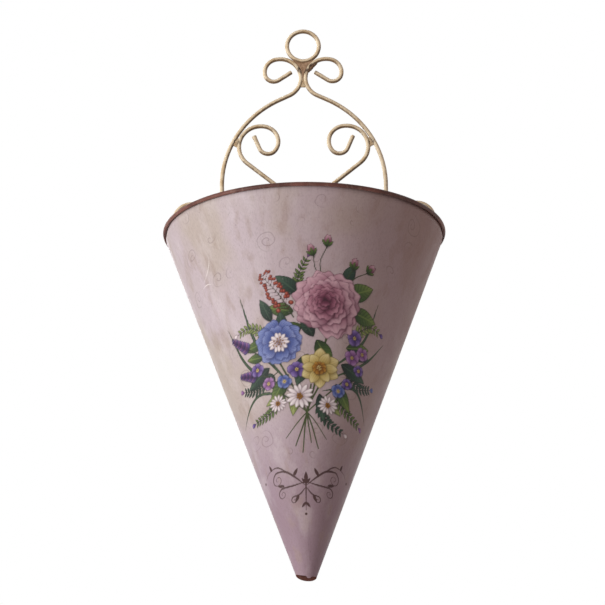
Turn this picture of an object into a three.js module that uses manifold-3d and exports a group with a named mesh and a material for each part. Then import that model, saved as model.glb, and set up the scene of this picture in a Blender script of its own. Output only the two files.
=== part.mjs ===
// Wall planter: a tapering tinplate pocket with a round front and a flat back, its rim rolled over
// a wire hoop, hung from a frame of bent and welded wire scrolls with a ring at the top.
//
// Millimetres. +Z is up, +X is to the viewer's right and +Y points into the wall. The pieces are
// laid out from the middle of the rim, in the plane of the wall, and the whole is then lowered so
// that the origin is where a nail bears, at the top of the inside of the hanging ring.

import * as THREE from "three";
import { mergeVertices } from "three/addons/utils/BufferGeometryUtils.js";
import Module from "manifold-3d";

// ---------------------------------------------------------------------------------------------
// Driving dimensions
// ---------------------------------------------------------------------------------------------

const FIT = 0.3; // air between two pieces that touch

// Pocket
const RIM_WIDTH = 200; // across the outside of the rolled rim
const BACK_SETBACK = 30; // from the rim's widest place back to the wall
const POCKET_HEIGHT = 248; // from the rim wire's centre down to the cut end
const TIP_WIDTH = 15; // across the cut end
const TIP_PITCH = 20; // degrees that the cut end falls towards the front
const TIP_SLANT = 7; // degrees that the cut end falls towards the right
const TONGUE_DROP = 3.8; // how far the back's round end shows below the cut end
const SHEET = 0.5; // tinplate
const RIM_WIRE = 1.9; // diameter of the hoop in the rolled rim
const RIM_PROUD = 0.8; // how far the roll stands out past the line of the cone
const RIM_NECK = 4; // depth of the band under the roll
const HOOP_BEND = 7; // radius of the hoop's two back corners
const ROLL_START = 210; // degrees round the wire where the shell's roll leaves the wall
const ROLL_END = -60; // degrees round the wire where a rolled edge ends
const FLANGE = 6; // width of the shell's turned-in side edges
const FLANGE_SHARE = 0.6; // most of the half width that a flange takes near the tip

// Wire scrolls. A bend is [radius, degrees].
const WIRE = 3; // diameter of the scroll wire
const RING_RADIUS = 11.3; // hanging ring, to the middle of its wire
const LEG_SPREAD = 116.4; // between the middles of the two legs
const LEG_RISE = 26; // straight part of a leg above its foot curl
const FOOT_CURL = [[17, 180], [12.5, 120], [8, 80]];
const ARCH_RADIUS = 72;
const ARCH_TURN = 64.7; // degrees that a leg leans over before it runs to the neck
const NECK_RADIUS = 14.5;
const TOP_CURL = [[14.6, 105], [9.8, 88.5], [6.3, 110]];
const TOP_CURL_END = 11; // straight end of the top curl
const HEART_CONTACT = 34; // degrees up the arch where the heart scroll touches it
const HEART_CURL = [[15.4, 70], [11.5, 112.5], [6.4, 121]];
const HEART_CURL_END = 10.4; // straight end of the heart curl
const HEART_SIDE = [16.1, 84.6]; // bend below the contact
const STEM_BEND = 8; // radius of the bend that brings the heart's tail upright

// Welds
const WEB_THICKNESS = 2; // of a weld that fills the fork between two wires
const NECK_WEB_DROP = 6.5; // how far down the fork the web below the neck reaches
const HEART_WEB_END = 26; // degrees up the arch where the web beside the heart ends
const FOOT_TACK = [4.5, 1.5, 1.4]; // half sizes
const STEM_TACK = [3.6, 1.5, 1.6];

// Fineness of the solids
const ARC_STEPS = 42; // round the rim
const ROLL_STEP = 30; // degrees, round a rolled edge
const TONGUE_STEPS = 10;
const WIRE_SIDES = 8;
const WIRE_STEP = 2.6; // length of a facet along the scroll wire
const HOOP_SIDES = 6;
const HOOP_STEP = 4.5;
const RING_STEPS = 32;
const TACK_SIDES = 16;

// ---------------------------------------------------------------------------------------------
// Finishes
// ---------------------------------------------------------------------------------------------

const printedTin = new THREE.MeshStandardMaterial({ color: 0xc4b3b5, roughness: 0.42, metalness: 0.1 });
const brownTin = new THREE.MeshStandardMaterial({ color: 0x6f4f45, roughness: 0.5, metalness: 0.2 });
const creamWire = new THREE.MeshStandardMaterial({ color: 0xd8c6a6, roughness: 0.45, metalness: 0.15 });
const brownWeld = new THREE.MeshStandardMaterial({ color: 0x8a6d55, roughness: 0.6, metalness: 0.2 });

// ---------------------------------------------------------------------------------------------
// Worked-out sizes
// ---------------------------------------------------------------------------------------------

const radians = THREE.MathUtils.degToRad;
const degrees = THREE.MathUtils.radToDeg;

const wireRadius = WIRE / 2;
const channelRadius = RIM_WIRE / 2 + FIT; // inside of a rolled edge
const beadRadius = channelRadius + SHEET; // outside of a rolled edge
const beadCentre = RIM_WIDTH / 2 - beadRadius; // plan radius of the hoop
const coneRadius = RIM_WIDTH / 2 - RIM_PROUD; // the cone's outside, carried up to the hoop's level
const framePlaneY = -beadRadius; // the back's roll, and all that stands on it
const seamY = -SHEET - FIT; // rear of the shell's side flanges, just in front of the back

const apexDrop = POCKET_HEIGHT / (1 - TIP_WIDTH / 2 / coneRadius);
const cornerAngle = Math.acos((-BACK_SETBACK - seamY) / coneRadius);

const hoopBendY = framePlaneY - HOOP_BEND;
const hoopBendX = Math.sqrt((beadCentre - HOOP_BEND) ** 2 - (hoopBendY + BACK_SETBACK) ** 2);
const rollAngle = Math.PI / 2 + Math.atan2(hoopBendY + BACK_SETBACK, hoopBendX);

const seatZ = beadRadius + FIT; // what stands on the back's roll starts here
const pairX = (WIRE + FIT) / 2; // each of two wires side by side lies this far off the middle
const footCurlRadius = FOOT_CURL[0][0];
const footZ = seatZ + wireRadius + footCurlRadius; // middle of the foot curls

// ---------------------------------------------------------------------------------------------
// Solids: joining, cutting and sheet metal
// ---------------------------------------------------------------------------------------------

const wasm = await Module();
wasm.setup();

function toSolid(geometry) {
  const bare = geometry.clone();
  bare.deleteAttribute("normal");
  bare.deleteAttribute("uv");
  const merged = mergeVertices(bare);
  return new wasm.Manifold(new wasm.Mesh({
    numProp: 3,
    vertProperties: new Float32Array(merged.attributes.position.array),
    triVerts: new Uint32Array(merged.index.array),
  }));
}

function fromSolid(solid) {
  const mesh = solid.getMesh();
  const geometry = new THREE.BufferGeometry();
  geometry.setAttribute("position", new THREE.BufferAttribute(mesh.vertProperties, 3));
  geometry.setIndex(new THREE.BufferAttribute(mesh.triVerts, 1));
  return geometry;
}

function joined(first, second) {
  return fromSolid(toSolid(first).add(toSolid(second)));
}

function cutAway(geometry, tools) {
  return fromSolid(tools.reduce((solid, tool) => solid.subtract(toSolid(tool)), toSolid(geometry)));
}

// A closed sheet between an outer and an inner grid of points, grid[column][row]. Only the cells
// that keep(column, row) allows are made, and the edge is closed all round them. A column may stop
// short where none of its upper cells is kept.
function thickSheet(outer, inner, keep) {
  const columns = outer.length - 1;
  const rows = Math.max(...outer.map((column) => column.length)) - 1;
  const corners = [];
  const quad = (...points) => [0, 1, 2, 0, 2, 3].forEach((corner) => corners.push(points[corner]));
  const made = (column, row) => (
    column >= 0 && row >= 0 && column < columns && row < rows && keep(column, row)
  );

  for (let column = 0; column < columns; column++) {
    for (let row = 0; row < rows; row++) {
      if (!made(column, row)) continue;
      const [a, b, c, d] = [[0, 0], [1, 0], [1, 1], [0, 1]].map(([right, up]) => ({
        out: outer[column + right][row + up],
        in: inner[column + right][row + up],
      }));
      quad(a.out, b.out, c.out, d.out);
      quad(d.in, c.in, b.in, a.in);
      if (!made(column, row - 1)) quad(b.out, a.out, a.in, b.in);
      if (!made(column + 1, row)) quad(c.out, b.out, b.in, c.in);
      if (!made(column, row + 1)) quad(d.out, c.out, c.in, d.in);
      if (!made(column - 1, row)) quad(a.out, d.out, d.in, a.in);
    }
  }
  return new THREE.BufferGeometry().setFromPoints(corners);
}

// The left-hand copy of a right-hand piece.
function mirrored(geometry) {
  const copy = geometry.clone();
  copy.applyMatrix4(new THREE.Matrix4().makeScale(-1, 1, 1));
  const index = copy.index ?? new THREE.BufferAttribute(
    Uint32Array.from({ length: copy.attributes.position.count }, (_, corner) => corner),
    1,
  );
  copy.setIndex(Array.from(index.array).reverse());
  return copy;
}

// ---------------------------------------------------------------------------------------------
// Bent wire
// ---------------------------------------------------------------------------------------------

const inFrame = (u, v) => new THREE.Vector3(u, framePlaneY, v); // upright, with the scrolls
const inRim = (u, v) => new THREE.Vector3(u, v, 0); // level, with the hoop

// A wire as a bender makes it: it starts at a point with a heading in degrees and goes on through
// straight runs and bends, where plus degrees turn left.
class BentWire extends THREE.Curve {
  constructor([x, y], heading, place) {
    super();
    this.place = place;
    this.end = { x, y, heading: radians(heading) };
    this.runs = [];
    this.wireLength = 0;
  }

  static along({ x, y, heading }, { radius, turn }, length) {
    if (turn === 0) {
      return { x: x + length * Math.cos(heading), y: y + length * Math.sin(heading), heading };
    }
    const side = Math.sign(turn);
    const turned = heading + (side * length) / radius;
    return {
      x: x + side * radius * (Math.sin(turned) - Math.sin(heading)),
      y: y - side * radius * (Math.cos(turned) - Math.cos(heading)),
      heading: turned,
    };
  }

  add(run) {
    this.runs.push({ ...run, from: this.end, start: this.wireLength });
    this.wireLength += run.length;
    this.end = BentWire.along(this.end, run, run.length);
    return this;
  }

  straight(length) {
    return this.add({ turn: 0, length });
  }

  bend(radius, turn) {
    return this.add({ radius, turn, length: radius * Math.abs(radians(turn)) });
  }

  bends(list, side) {
    list.forEach(([radius, turn]) => this.bend(radius, side * turn));
    return this;
  }

  // Straight on, until a bend of this radius to this heading ends at x.
  straightThenBend(radius, heading, x) {
    const turn = heading - degrees(this.end.heading);
    const across = Math.sign(turn) * radius * (Math.sin(radians(heading)) - Math.sin(this.end.heading));
    this.straight((x - across - this.end.x) / Math.cos(this.end.heading));
    return this.bend(radius, turn);
  }

  // The same wire, begun at its other end.
  reversed() {
    const wire = new BentWire([this.end.x, this.end.y], degrees(this.end.heading) + 180, this.place);
    this.runs.toReversed().forEach(({ radius, turn, length }) => wire.add({ radius, turn: -turn, length }));
    return wire;
  }

  getPoint(t, target = new THREE.Vector3()) {
    const distance = t * this.wireLength;
    const run = this.runs.findLast(({ start }) => start <= distance) ?? this.runs[0];
    const { x, y } = BentWire.along(run.from, run, distance - run.start);
    return target.copy(this.place(x, y));
  }

  // Shares of the wire are shares of its length.
  getUtoTmapping(share) {
    return share;
  }
}

function roundBar(wire, diameter) {
  const corners = Array.from({ length: WIRE_SIDES }, (_, side) => {
    const angle = (2 * Math.PI * side) / WIRE_SIDES;
    return new THREE.Vector2(Math.cos(angle), Math.sin(angle)).multiplyScalar(diameter / 2);
  });
  return new THREE.ExtrudeGeometry(new THREE.Shape(corners), {
    steps: Math.ceil(wire.wireLength / WIRE_STEP),
    extrudePath: wire,
  });
}

// ---------------------------------------------------------------------------------------------
// Pocket
// ---------------------------------------------------------------------------------------------

const outward = (angle) => new THREE.Vector3(Math.sin(angle), -Math.cos(angle), 0);
const fromRimCentre = (angle, radius, z) => (
  new THREE.Vector3(0, -BACK_SETBACK, z).addScaledVector(outward(angle), radius)
);
const rimPoint = (angle) => fromRimCentre(angle, coneRadius, 0);

// Every straight line of the pocket's side runs from its rim point towards the apex.
const apex = new THREE.Vector3(0, seamY, -apexDrop);
const towardsApex = (rim, share) => rim.clone().lerp(apex, share);

function coneNormal(angle) {
  const alongRim = new THREE.Vector3(Math.cos(angle), Math.sin(angle), 0);
  return apex.clone().sub(rimPoint(angle)).cross(alongRim).normalize();
}

// Where a rim point's line meets the slanting cut end, as a share of the way to the apex.
function cutShare(rim) {
  const fall = Math.tan(radians(TIP_PITCH));
  const slant = Math.tan(radians(TIP_SLANT));
  const widestY = seamY + (-BACK_SETBACK - seamY) * (1 - POCKET_HEIGHT / apexDrop);
  const lean = fall * (rim.y - seamY) - slant * rim.x;
  return (POCKET_HEIGHT - fall * (seamY - widestY) - lean) / (apexDrop - lean);
}

// The two ends of the straight part of the wall: at the cut, and where the rim's neck starts.
const wallEnds = (rim) => [towardsApex(rim, cutShare(rim)), towardsApex(rim, RIM_NECK / apexDrop)];

function rollAngles(from) {
  const steps = Math.round((from - ROLL_END) / ROLL_STEP);
  return Array.from({ length: steps + 1 }, (_, step) => radians(from + ((ROLL_END - from) * step) / steps));
}

// The inside of a corner lies on the inner faces of both the round wall and the flat flange.
function cornerInside(corner, angle) {
  const normal = coneNormal(angle);
  const across = (SHEET * (normal.y - 1)) / normal.x;
  return new THREE.Vector3(corner.x + across, corner.y - SHEET, corner.z);
}

function flangeEdge(corner) {
  const width = Math.min(FLANGE, Math.abs(corner.x) * FLANGE_SHARE);
  return new THREE.Vector3(corner.x - Math.sign(corner.x) * width, corner.y, corner.z);
}

// One sheet: a flange, a corner, the round wall with its rolled rim, a corner and a flange.
function frontShell() {
  const rolls = rollAngles(ROLL_START);
  const rolled = (angle, radius) => rolls.map((roll) => (
    fromRimCentre(angle, beadCentre + radius * Math.cos(roll), radius * Math.sin(roll))
  ));
  const columns = Array.from({ length: ARC_STEPS + 1 }, (_, step) => {
    const angle = rollAngle * ((2 * step) / ARC_STEPS - 1);
    const ends = wallEnds(rimPoint(angle));
    const insideEnds = ends.map((point) => point.clone().addScaledVector(coneNormal(angle), -SHEET));
    return {
      outer: [...ends, ...rolled(angle, channelRadius)],
      inner: [...insideEnds, ...rolled(angle, beadRadius)],
    };
  });

  const side = (angle) => {
    const corners = wallEnds(rimPoint(angle));
    const edges = corners.map(flangeEdge);
    return {
      corner: { outer: corners, inner: corners.map((point) => cornerInside(point, angle)) },
      flange: { outer: edges, inner: edges.map((point) => point.clone().setY(seamY - SHEET)) },
    };
  };
  const left = side(-cornerAngle);
  const right = side(cornerAngle);
  columns.unshift(left.flange, left.corner);
  columns.push(right.corner, right.flange);

  const wallRow = 0;
  const firstRolled = 2;
  const lastRolled = columns.length - 4;
  return thickSheet(
    columns.map(({ outer }) => outer),
    columns.map(({ inner }) => inner),
    (column, row) => row === wallRow || (column >= firstRolled && column <= lastRolled),
  );
}

// The back is cut to the shell's corners and ends in a round tongue. Its top edge goes up behind
// the hoop, forward over it and down again.
function backPlate() {
  const [cutLeft, neckLeft] = wallEnds(rimPoint(-cornerAngle));
  const [cutRight, neckRight] = wallEnds(rimPoint(cornerAngle));
  const tongue = Array.from({ length: TONGUE_STEPS + 1 }, (_, step) => {
    const angle = (Math.PI * step) / TONGUE_STEPS;
    const point = cutLeft.clone().lerp(cutRight, (1 - Math.cos(angle)) / 2);
    return new THREE.Vector2(point.x, point.z - TONGUE_DROP * Math.sin(angle));
  });
  const top = [neckRight, neckLeft].map(({ x, z }) => new THREE.Vector2(x, z));
  const plate = new THREE.ExtrudeGeometry(new THREE.Shape([...tongue, ...top]), {
    depth: SHEET,
    bevelEnabled: false,
  });
  plate.rotateX(Math.PI / 2);

  const rolled = (radius) => rollAngles(180).map((roll) => (
    new THREE.Vector2(framePlaneY - radius * Math.cos(roll), radius * Math.sin(roll))
  ));
  const foot = -RIM_NECK - SHEET; // overlaps the plate, so that the two are joined
  const section = new THREE.Shape([
    new THREE.Vector2(-SHEET, foot),
    ...rolled(channelRadius),
    ...rolled(beadRadius).reverse(),
    new THREE.Vector2(0, foot),
  ]);
  const roll = new THREE.ExtrudeGeometry(section, { depth: 2 * hoopBendX, bevelEnabled: false });
  roll.applyMatrix4(new THREE.Matrix4().makeBasis(
    new THREE.Vector3(0, 1, 0),
    new THREE.Vector3(0, 0, 1),
    new THREE.Vector3(1, 0, 0),
  ));
  roll.translate(-hoopBendX, 0, 0);
  return joined(plate, roll);
}

// One hoop lies in both rolled edges and is bare round the two back corners.
function rimWire() {
  const cornerTurn = 180 - degrees(rollAngle);
  const hoop = new BentWire([hoopBendX, framePlaneY], 180, inRim)
    .straight(2 * hoopBendX)
    .bend(HOOP_BEND, cornerTurn)
    .bend(beadCentre, 2 * degrees(rollAngle))
    .bend(HOOP_BEND, cornerTurn);
  const steps = Math.ceil(hoop.wireLength / HOOP_STEP);
  return new THREE.TubeGeometry(hoop, steps, RIM_WIRE / 2, HOOP_SIDES, true);
}

// ---------------------------------------------------------------------------------------------
// Scroll frame
// ---------------------------------------------------------------------------------------------

// The right-hand main scroll, from the free end of its foot curl to that of its top curl.
const footCurl = new BentWire([LEG_SPREAD / 2, footZ], -90, inFrame).bends(FOOT_CURL, 1);
const mainScroll = footCurl.reversed().straight(LEG_RISE);
const archStart = mainScroll.end;
mainScroll.bend(ARCH_RADIUS, ARCH_TURN).straightThenBend(NECK_RADIUS, 90, pairX);
const neckZ = mainScroll.end.y;
mainScroll.bends(TOP_CURL, -1).straight(TOP_CURL_END);

// The ring rests on the shoulders of both top curls.
const shoulder = new THREE.Vector2(pairX + TOP_CURL[0][0], neckZ);
const ringToShoulder = RING_RADIUS + WIRE + FIT + TOP_CURL[0][0];
const ringCentre = new THREE.Vector2(0, neckZ + Math.sqrt(ringToShoulder ** 2 - shoulder.x ** 2));

const onArch = (up) => BentWire.along(
  archStart,
  { radius: ARCH_RADIUS, turn: ARCH_TURN },
  ARCH_RADIUS * radians(up),
);

// The right-hand heart scroll lies against the inside of the arch. Its tail runs down to the middle
// and stands on the back's roll beside the other one.
const contact = onArch(HEART_CONTACT);
const heartStart = {
  x: contact.x - (WIRE + FIT) * Math.sin(contact.heading),
  y: contact.y + (WIRE + FIT) * Math.cos(contact.heading),
  heading: contact.heading + Math.PI,
};
const heartTail = new BentWire([heartStart.x, heartStart.y], degrees(heartStart.heading), inFrame)
  .bends([HEART_SIDE], -1)
  .straightThenBend(STEM_BEND, 270, pairX);
heartTail.straight(heartTail.end.y - seatZ);
const heartScroll = heartTail.reversed().bends(HEART_CURL, 1).straight(HEART_CURL_END);

const ringOf = (diameter) => (
  new THREE.TorusGeometry(RING_RADIUS, diameter / 2, WIRE_SIDES, RING_STEPS)
    .rotateX(Math.PI / 2)
    .translate(ringCentre.x, framePlaneY, ringCentre.y)
);

// ---------------------------------------------------------------------------------------------
// Welds
// ---------------------------------------------------------------------------------------------

// What a weld is cut clear of: the ring, the wires and the back's roll, with air all round.
const clearance = WIRE + 2 * FIT;
const clearOfRing = ringOf(clearance);
const clearOfMain = roundBar(mainScroll, clearance);
const clearOfHeart = roundBar(heartScroll, clearance);
const clearOfStem = roundBar(new BentWire([pairX, 0], 90, inFrame).straight(STEM_BEND), clearance);
const clearOfRoll = new THREE.CylinderGeometry(seatZ, seatZ, RIM_WIDTH, TACK_SIDES)
  .rotateZ(Math.PI / 2)
  .translate(0, framePlaneY, 0);

// A thin web that fills the fork between wires, inside the corners given in the frame's plane.
function web(corners, tools) {
  const slab = new THREE.ExtrudeGeometry(new THREE.Shape(corners), {
    depth: WEB_THICKNESS,
    bevelEnabled: false,
  });
  slab.rotateX(Math.PI / 2).translate(0, framePlaneY + WEB_THICKNESS / 2, 0);
  return cutAway(slab, tools);
}

function ringWeb() {
  const reach = RING_RADIUS + wireRadius + FIT / 2;
  const right = ringCentre.clone().lerp(shoulder, reach / ringToShoulder);
  const left = new THREE.Vector2(-right.x, right.y);
  const low = new THREE.Vector2(0, neckZ);
  return web([low, right, left], [clearOfRing, clearOfMain, mirrored(clearOfMain)]);
}

function neckWeb() {
  const spread = pairX + NECK_RADIUS - Math.sqrt(NECK_RADIUS ** 2 - NECK_WEB_DROP ** 2);
  const right = new THREE.Vector2(spread, neckZ - NECK_WEB_DROP);
  const left = new THREE.Vector2(-spread, right.y);
  const top = new THREE.Vector2(0, neckZ);
  return web([top, left, right], [clearOfMain, mirrored(clearOfMain)]);
}

function heartWeb() {
  const reach = ARCH_RADIUS * radians(HEART_CONTACT - HEART_WEB_END);
  const [radius, turn] = HEART_SIDE;
  const ends = [
    heartStart,
    BentWire.along(heartStart, { radius, turn: -turn }, reach),
    onArch(HEART_WEB_END),
  ];
  return web(ends.map(({ x, y }) => new THREE.Vector2(x, y)), [clearOfMain, clearOfHeart]);
}

// A blob in the groove in front of the back's roll and the wires that stand on it.
function tack(x, halfSizes, wires) {
  const blob = new THREE.SphereGeometry(1, TACK_SIDES, TACK_SIDES / 2).scale(...halfSizes);
  blob.translate(x, framePlaneY - wireRadius, seatZ);
  return cutAway(blob, [clearOfRoll, ...wires]);
}

// ---------------------------------------------------------------------------------------------
// Assembly
// ---------------------------------------------------------------------------------------------

const part = new THREE.Group();
part.name = "wall_planter";
const nailZ = ringCentre.y + RING_RADIUS - wireRadius;

function addPiece(name, geometry, material) {
  const mesh = new THREE.Mesh(geometry, material);
  mesh.name = name;
  mesh.position.z = -nailZ;
  part.add(mesh);
}

function addPair(name, geometry, material) {
  addPiece(`${name}_right`, geometry, material);
  addPiece(`${name}_left`, mirrored(geometry), material);
}

addPiece("front_shell", frontShell(), printedTin);
addPiece("back_plate", backPlate(), brownTin);
addPiece("rim_wire", rimWire(), brownTin);
addPiece("hanging_ring", ringOf(WIRE), creamWire);
addPair("main_scroll", roundBar(mainScroll, WIRE), creamWire);
addPair("heart_scroll", roundBar(heartScroll, WIRE), creamWire);
addPiece("ring_weld", ringWeb(), brownWeld);
addPiece("neck_weld", neckWeb(), brownWeld);
addPair("heart_weld", heartWeb(), brownWeld);
addPair("foot_weld", tack(LEG_SPREAD / 2 + footCurlRadius, FOOT_TACK, [clearOfMain]), brownWeld);
addPiece("stem_weld", tack(0, STEM_TACK, [clearOfStem, mirrored(clearOfStem)]), brownWeld);

export default part;
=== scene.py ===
"""Looks of the wall planter: a printed tin pocket that hangs by a ring from a frame of wire scrolls.

Lengths are in millimetres. The pocket and the scrolls are laid out from the middle of the rim, in the
plane of the wall, as in the part's source, and ``Hanging`` lowers each point so that the origin is the
nail, and turns it into metres.
"""

import logging
import math
from collections.abc import Sequence
from dataclasses import dataclass, field
from enum import Enum
from functools import cached_property, partial

import bmesh
import bpy
import numpy as np
from bpy.types import Material, Mesh, Node, NodeSocket, NodeTree, Object
from mathutils import Matrix, Quaternion, Vector

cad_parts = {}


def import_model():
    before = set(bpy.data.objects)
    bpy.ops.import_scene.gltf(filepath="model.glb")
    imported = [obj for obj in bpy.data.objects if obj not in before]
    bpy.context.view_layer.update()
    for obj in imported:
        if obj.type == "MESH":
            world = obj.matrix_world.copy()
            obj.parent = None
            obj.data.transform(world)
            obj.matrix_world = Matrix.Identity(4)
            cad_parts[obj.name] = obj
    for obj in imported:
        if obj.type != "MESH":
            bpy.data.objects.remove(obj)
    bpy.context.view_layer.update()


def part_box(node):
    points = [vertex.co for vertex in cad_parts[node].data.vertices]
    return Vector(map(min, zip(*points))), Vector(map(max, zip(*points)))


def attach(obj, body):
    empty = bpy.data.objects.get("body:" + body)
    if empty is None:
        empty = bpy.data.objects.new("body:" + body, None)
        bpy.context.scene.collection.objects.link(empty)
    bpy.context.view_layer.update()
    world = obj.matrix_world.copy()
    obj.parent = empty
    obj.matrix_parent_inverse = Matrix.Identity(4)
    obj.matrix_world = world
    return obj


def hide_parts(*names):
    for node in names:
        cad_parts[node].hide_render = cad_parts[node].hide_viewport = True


log = logging.getLogger("wall_planter")

MM = 0.001
BODY = "root"
SHARP_ANGLE = math.radians(38)  # folds steeper than this keep a crisp edge
PAINT = "print"  # the attribute that holds the printed design: colour, and how much it covers
SHEET = "sheet"  # the attribute that holds places on the unrolled sheet, in millimetres
GOLDEN_ANGLE = 2.4  # radians from one stamen to the next, as seeds sit in a flower

Source = str | float | Sequence[float] | NodeSocket | Node  # what a node's input takes
Pairs = tuple[tuple[float, float], ...]  # such as the radius and the degrees of each bend
Line = Sequence[tuple[float, float]]  # points right of the middle and up


# ---------- Colours and nodes ----------


def srgb(colour: str) -> np.ndarray:
    """The three parts of a hex colour, 0 to 1, as written."""
    return np.array([int(colour[at : at + 2], 16) / 255 for at in (1, 3, 5)])


def to_linear(colour: np.ndarray) -> np.ndarray:
    """sRGB values as the linear light that Blender works in."""
    return np.where(colour <= 0.04045, colour / 12.92, ((colour + 0.055) / 1.055) ** 2.4)


def add_node(
    tree: NodeTree,
    kind: str,
    inputs: dict[str | int, Source] | None = None,
    **settings: str,
) -> Node:
    """Adds one node with its settings and links.

    Args:
        tree: The material's or world's node tree.
        kind: The node's type.
        inputs: By the input's name or number, a value, a hex colour, a socket to link, or a node,
            whose first output is linked.
        settings: The node's own properties.

    Returns:
        The node.
    """
    node = tree.nodes.new(kind)
    for name, value in settings.items():
        setattr(node, name, value)
    for name, value in (inputs or {}).items():
        if isinstance(value, str):
            value = (*to_linear(srgb(value)), 1.0)
        if isinstance(value, Node):
            value = value.outputs[0]
        if isinstance(value, NodeSocket):
            tree.links.new(value, node.inputs[name])
        else:
            node.inputs[name].default_value = value
    return node


def empty_material(name: str) -> tuple[Material, NodeTree]:
    """A new material with an empty node tree.

    Args:
        name: Its name.

    Returns:
        The material and its tree.
    """
    material = bpy.data.materials.new(name)
    material.use_nodes = True
    material.node_tree.nodes.clear()
    return material, material.node_tree


@dataclass
class Finish:
    """What the finishes share: places in millimetres, clouds of a real size and veils of colour."""

    NOISE = (0.3, 0.7)  # the clouds keep almost wholly between these

    name: str

    def start(self) -> None:
        """Opens the material, and gives it the object's own places in millimetres."""
        self.material, self.tree = empty_material(self.name)
        self.add = partial(add_node, self.tree)
        place = self.add("ShaderNodeTexCoord").outputs["Object"]
        self.place = self.add("ShaderNodeVectorMath", {0: place, 1: (1 / MM,) * 3}, operation="MULTIPLY")

    def clouds(
        self, size: float, tall: float = 1.0, detail: float = 3.0, shift: float = 0.0
    ) -> Node:
        """Cloudy noise, 0 to 1.

        Args:
            size: Width of a cloud in millimetres.
            tall: How many times taller than wide a cloud is.
            detail: Octaves of finer clouds.
            shift: Moves the pattern, so that two of one size differ.

        Returns:
            The noise node.
        """
        scaled = self.add(
            "ShaderNodeVectorMath",
            {0: self.place, 1: (1 / size, 1 / size, 1 / (size * tall)), 2: (shift,) * 3},
            operation="MULTIPLY_ADD",
        )
        return self.add("ShaderNodeTexNoise", {"Vector": scaled, "Scale": 1.0, "Detail": detail})

    def veil(self, under: Source, over: Source, pattern: Source, low: float, high: float,
             cover: float = 1.0) -> NodeSocket:
        """Lays one colour over another where a pattern rises.

        Args:
            under: The colour below.
            over: The colour laid on.
            pattern: What says where.
            low: The pattern's value up to which nothing is laid.
            high: Its value from which the veil is at its thickest.
            cover: How much the veil covers there.

        Returns:
            The mixed colour.
        """
        share = self.add(
            "ShaderNodeMapRange",
            {"Value": pattern, "From Min": low, "From Max": high, "To Max": cover},
            interpolation_type="SMOOTHSTEP",
        )
        return self.add("ShaderNodeMix", {0: share, 6: under, 7: over}, data_type="RGBA").outputs[2]

    def close(self, colour: NodeSocket, gloss: tuple[float, float], patch: float,
              skin: Node, depth: float, **constants: float) -> Material:
        """Ends the material in one shader.

        Args:
            colour: The surface's colour.
            gloss: Its roughness where it is the most and the least glossy.
            patch: Width in millimetres of the patches of one gloss.
            skin: A 0 to 1 height for its small unevenness.
            depth: How deep that is, in millimetres.
            constants: Values set on the shader's own sockets, with underscores for spaces.

        Returns:
            The material.
        """
        rough = self.add(
            "ShaderNodeMapRange",
            {
                "Value": self.clouds(patch, tall=2, shift=1.9),
                "From Min": self.NOISE[0],
                "From Max": self.NOISE[1],
                "To Min": gloss[0],
                "To Max": gloss[1],
            },
        )
        bump = self.add("ShaderNodeBump", {"Height": skin, "Distance": depth * MM, "Strength": 1.0})
        shader = self.add(
            "ShaderNodeBsdfPrincipled",
            {"Base Color": colour, "Roughness": rough, "Normal": bump, "Metallic": 0.0, "IOR": 1.5},
        )
        for name, value in constants.items():
            shader.inputs[name.replace("_", " ")].default_value = value
        self.add("ShaderNodeOutputMaterial", {"Surface": shader})
        return self.material


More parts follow.
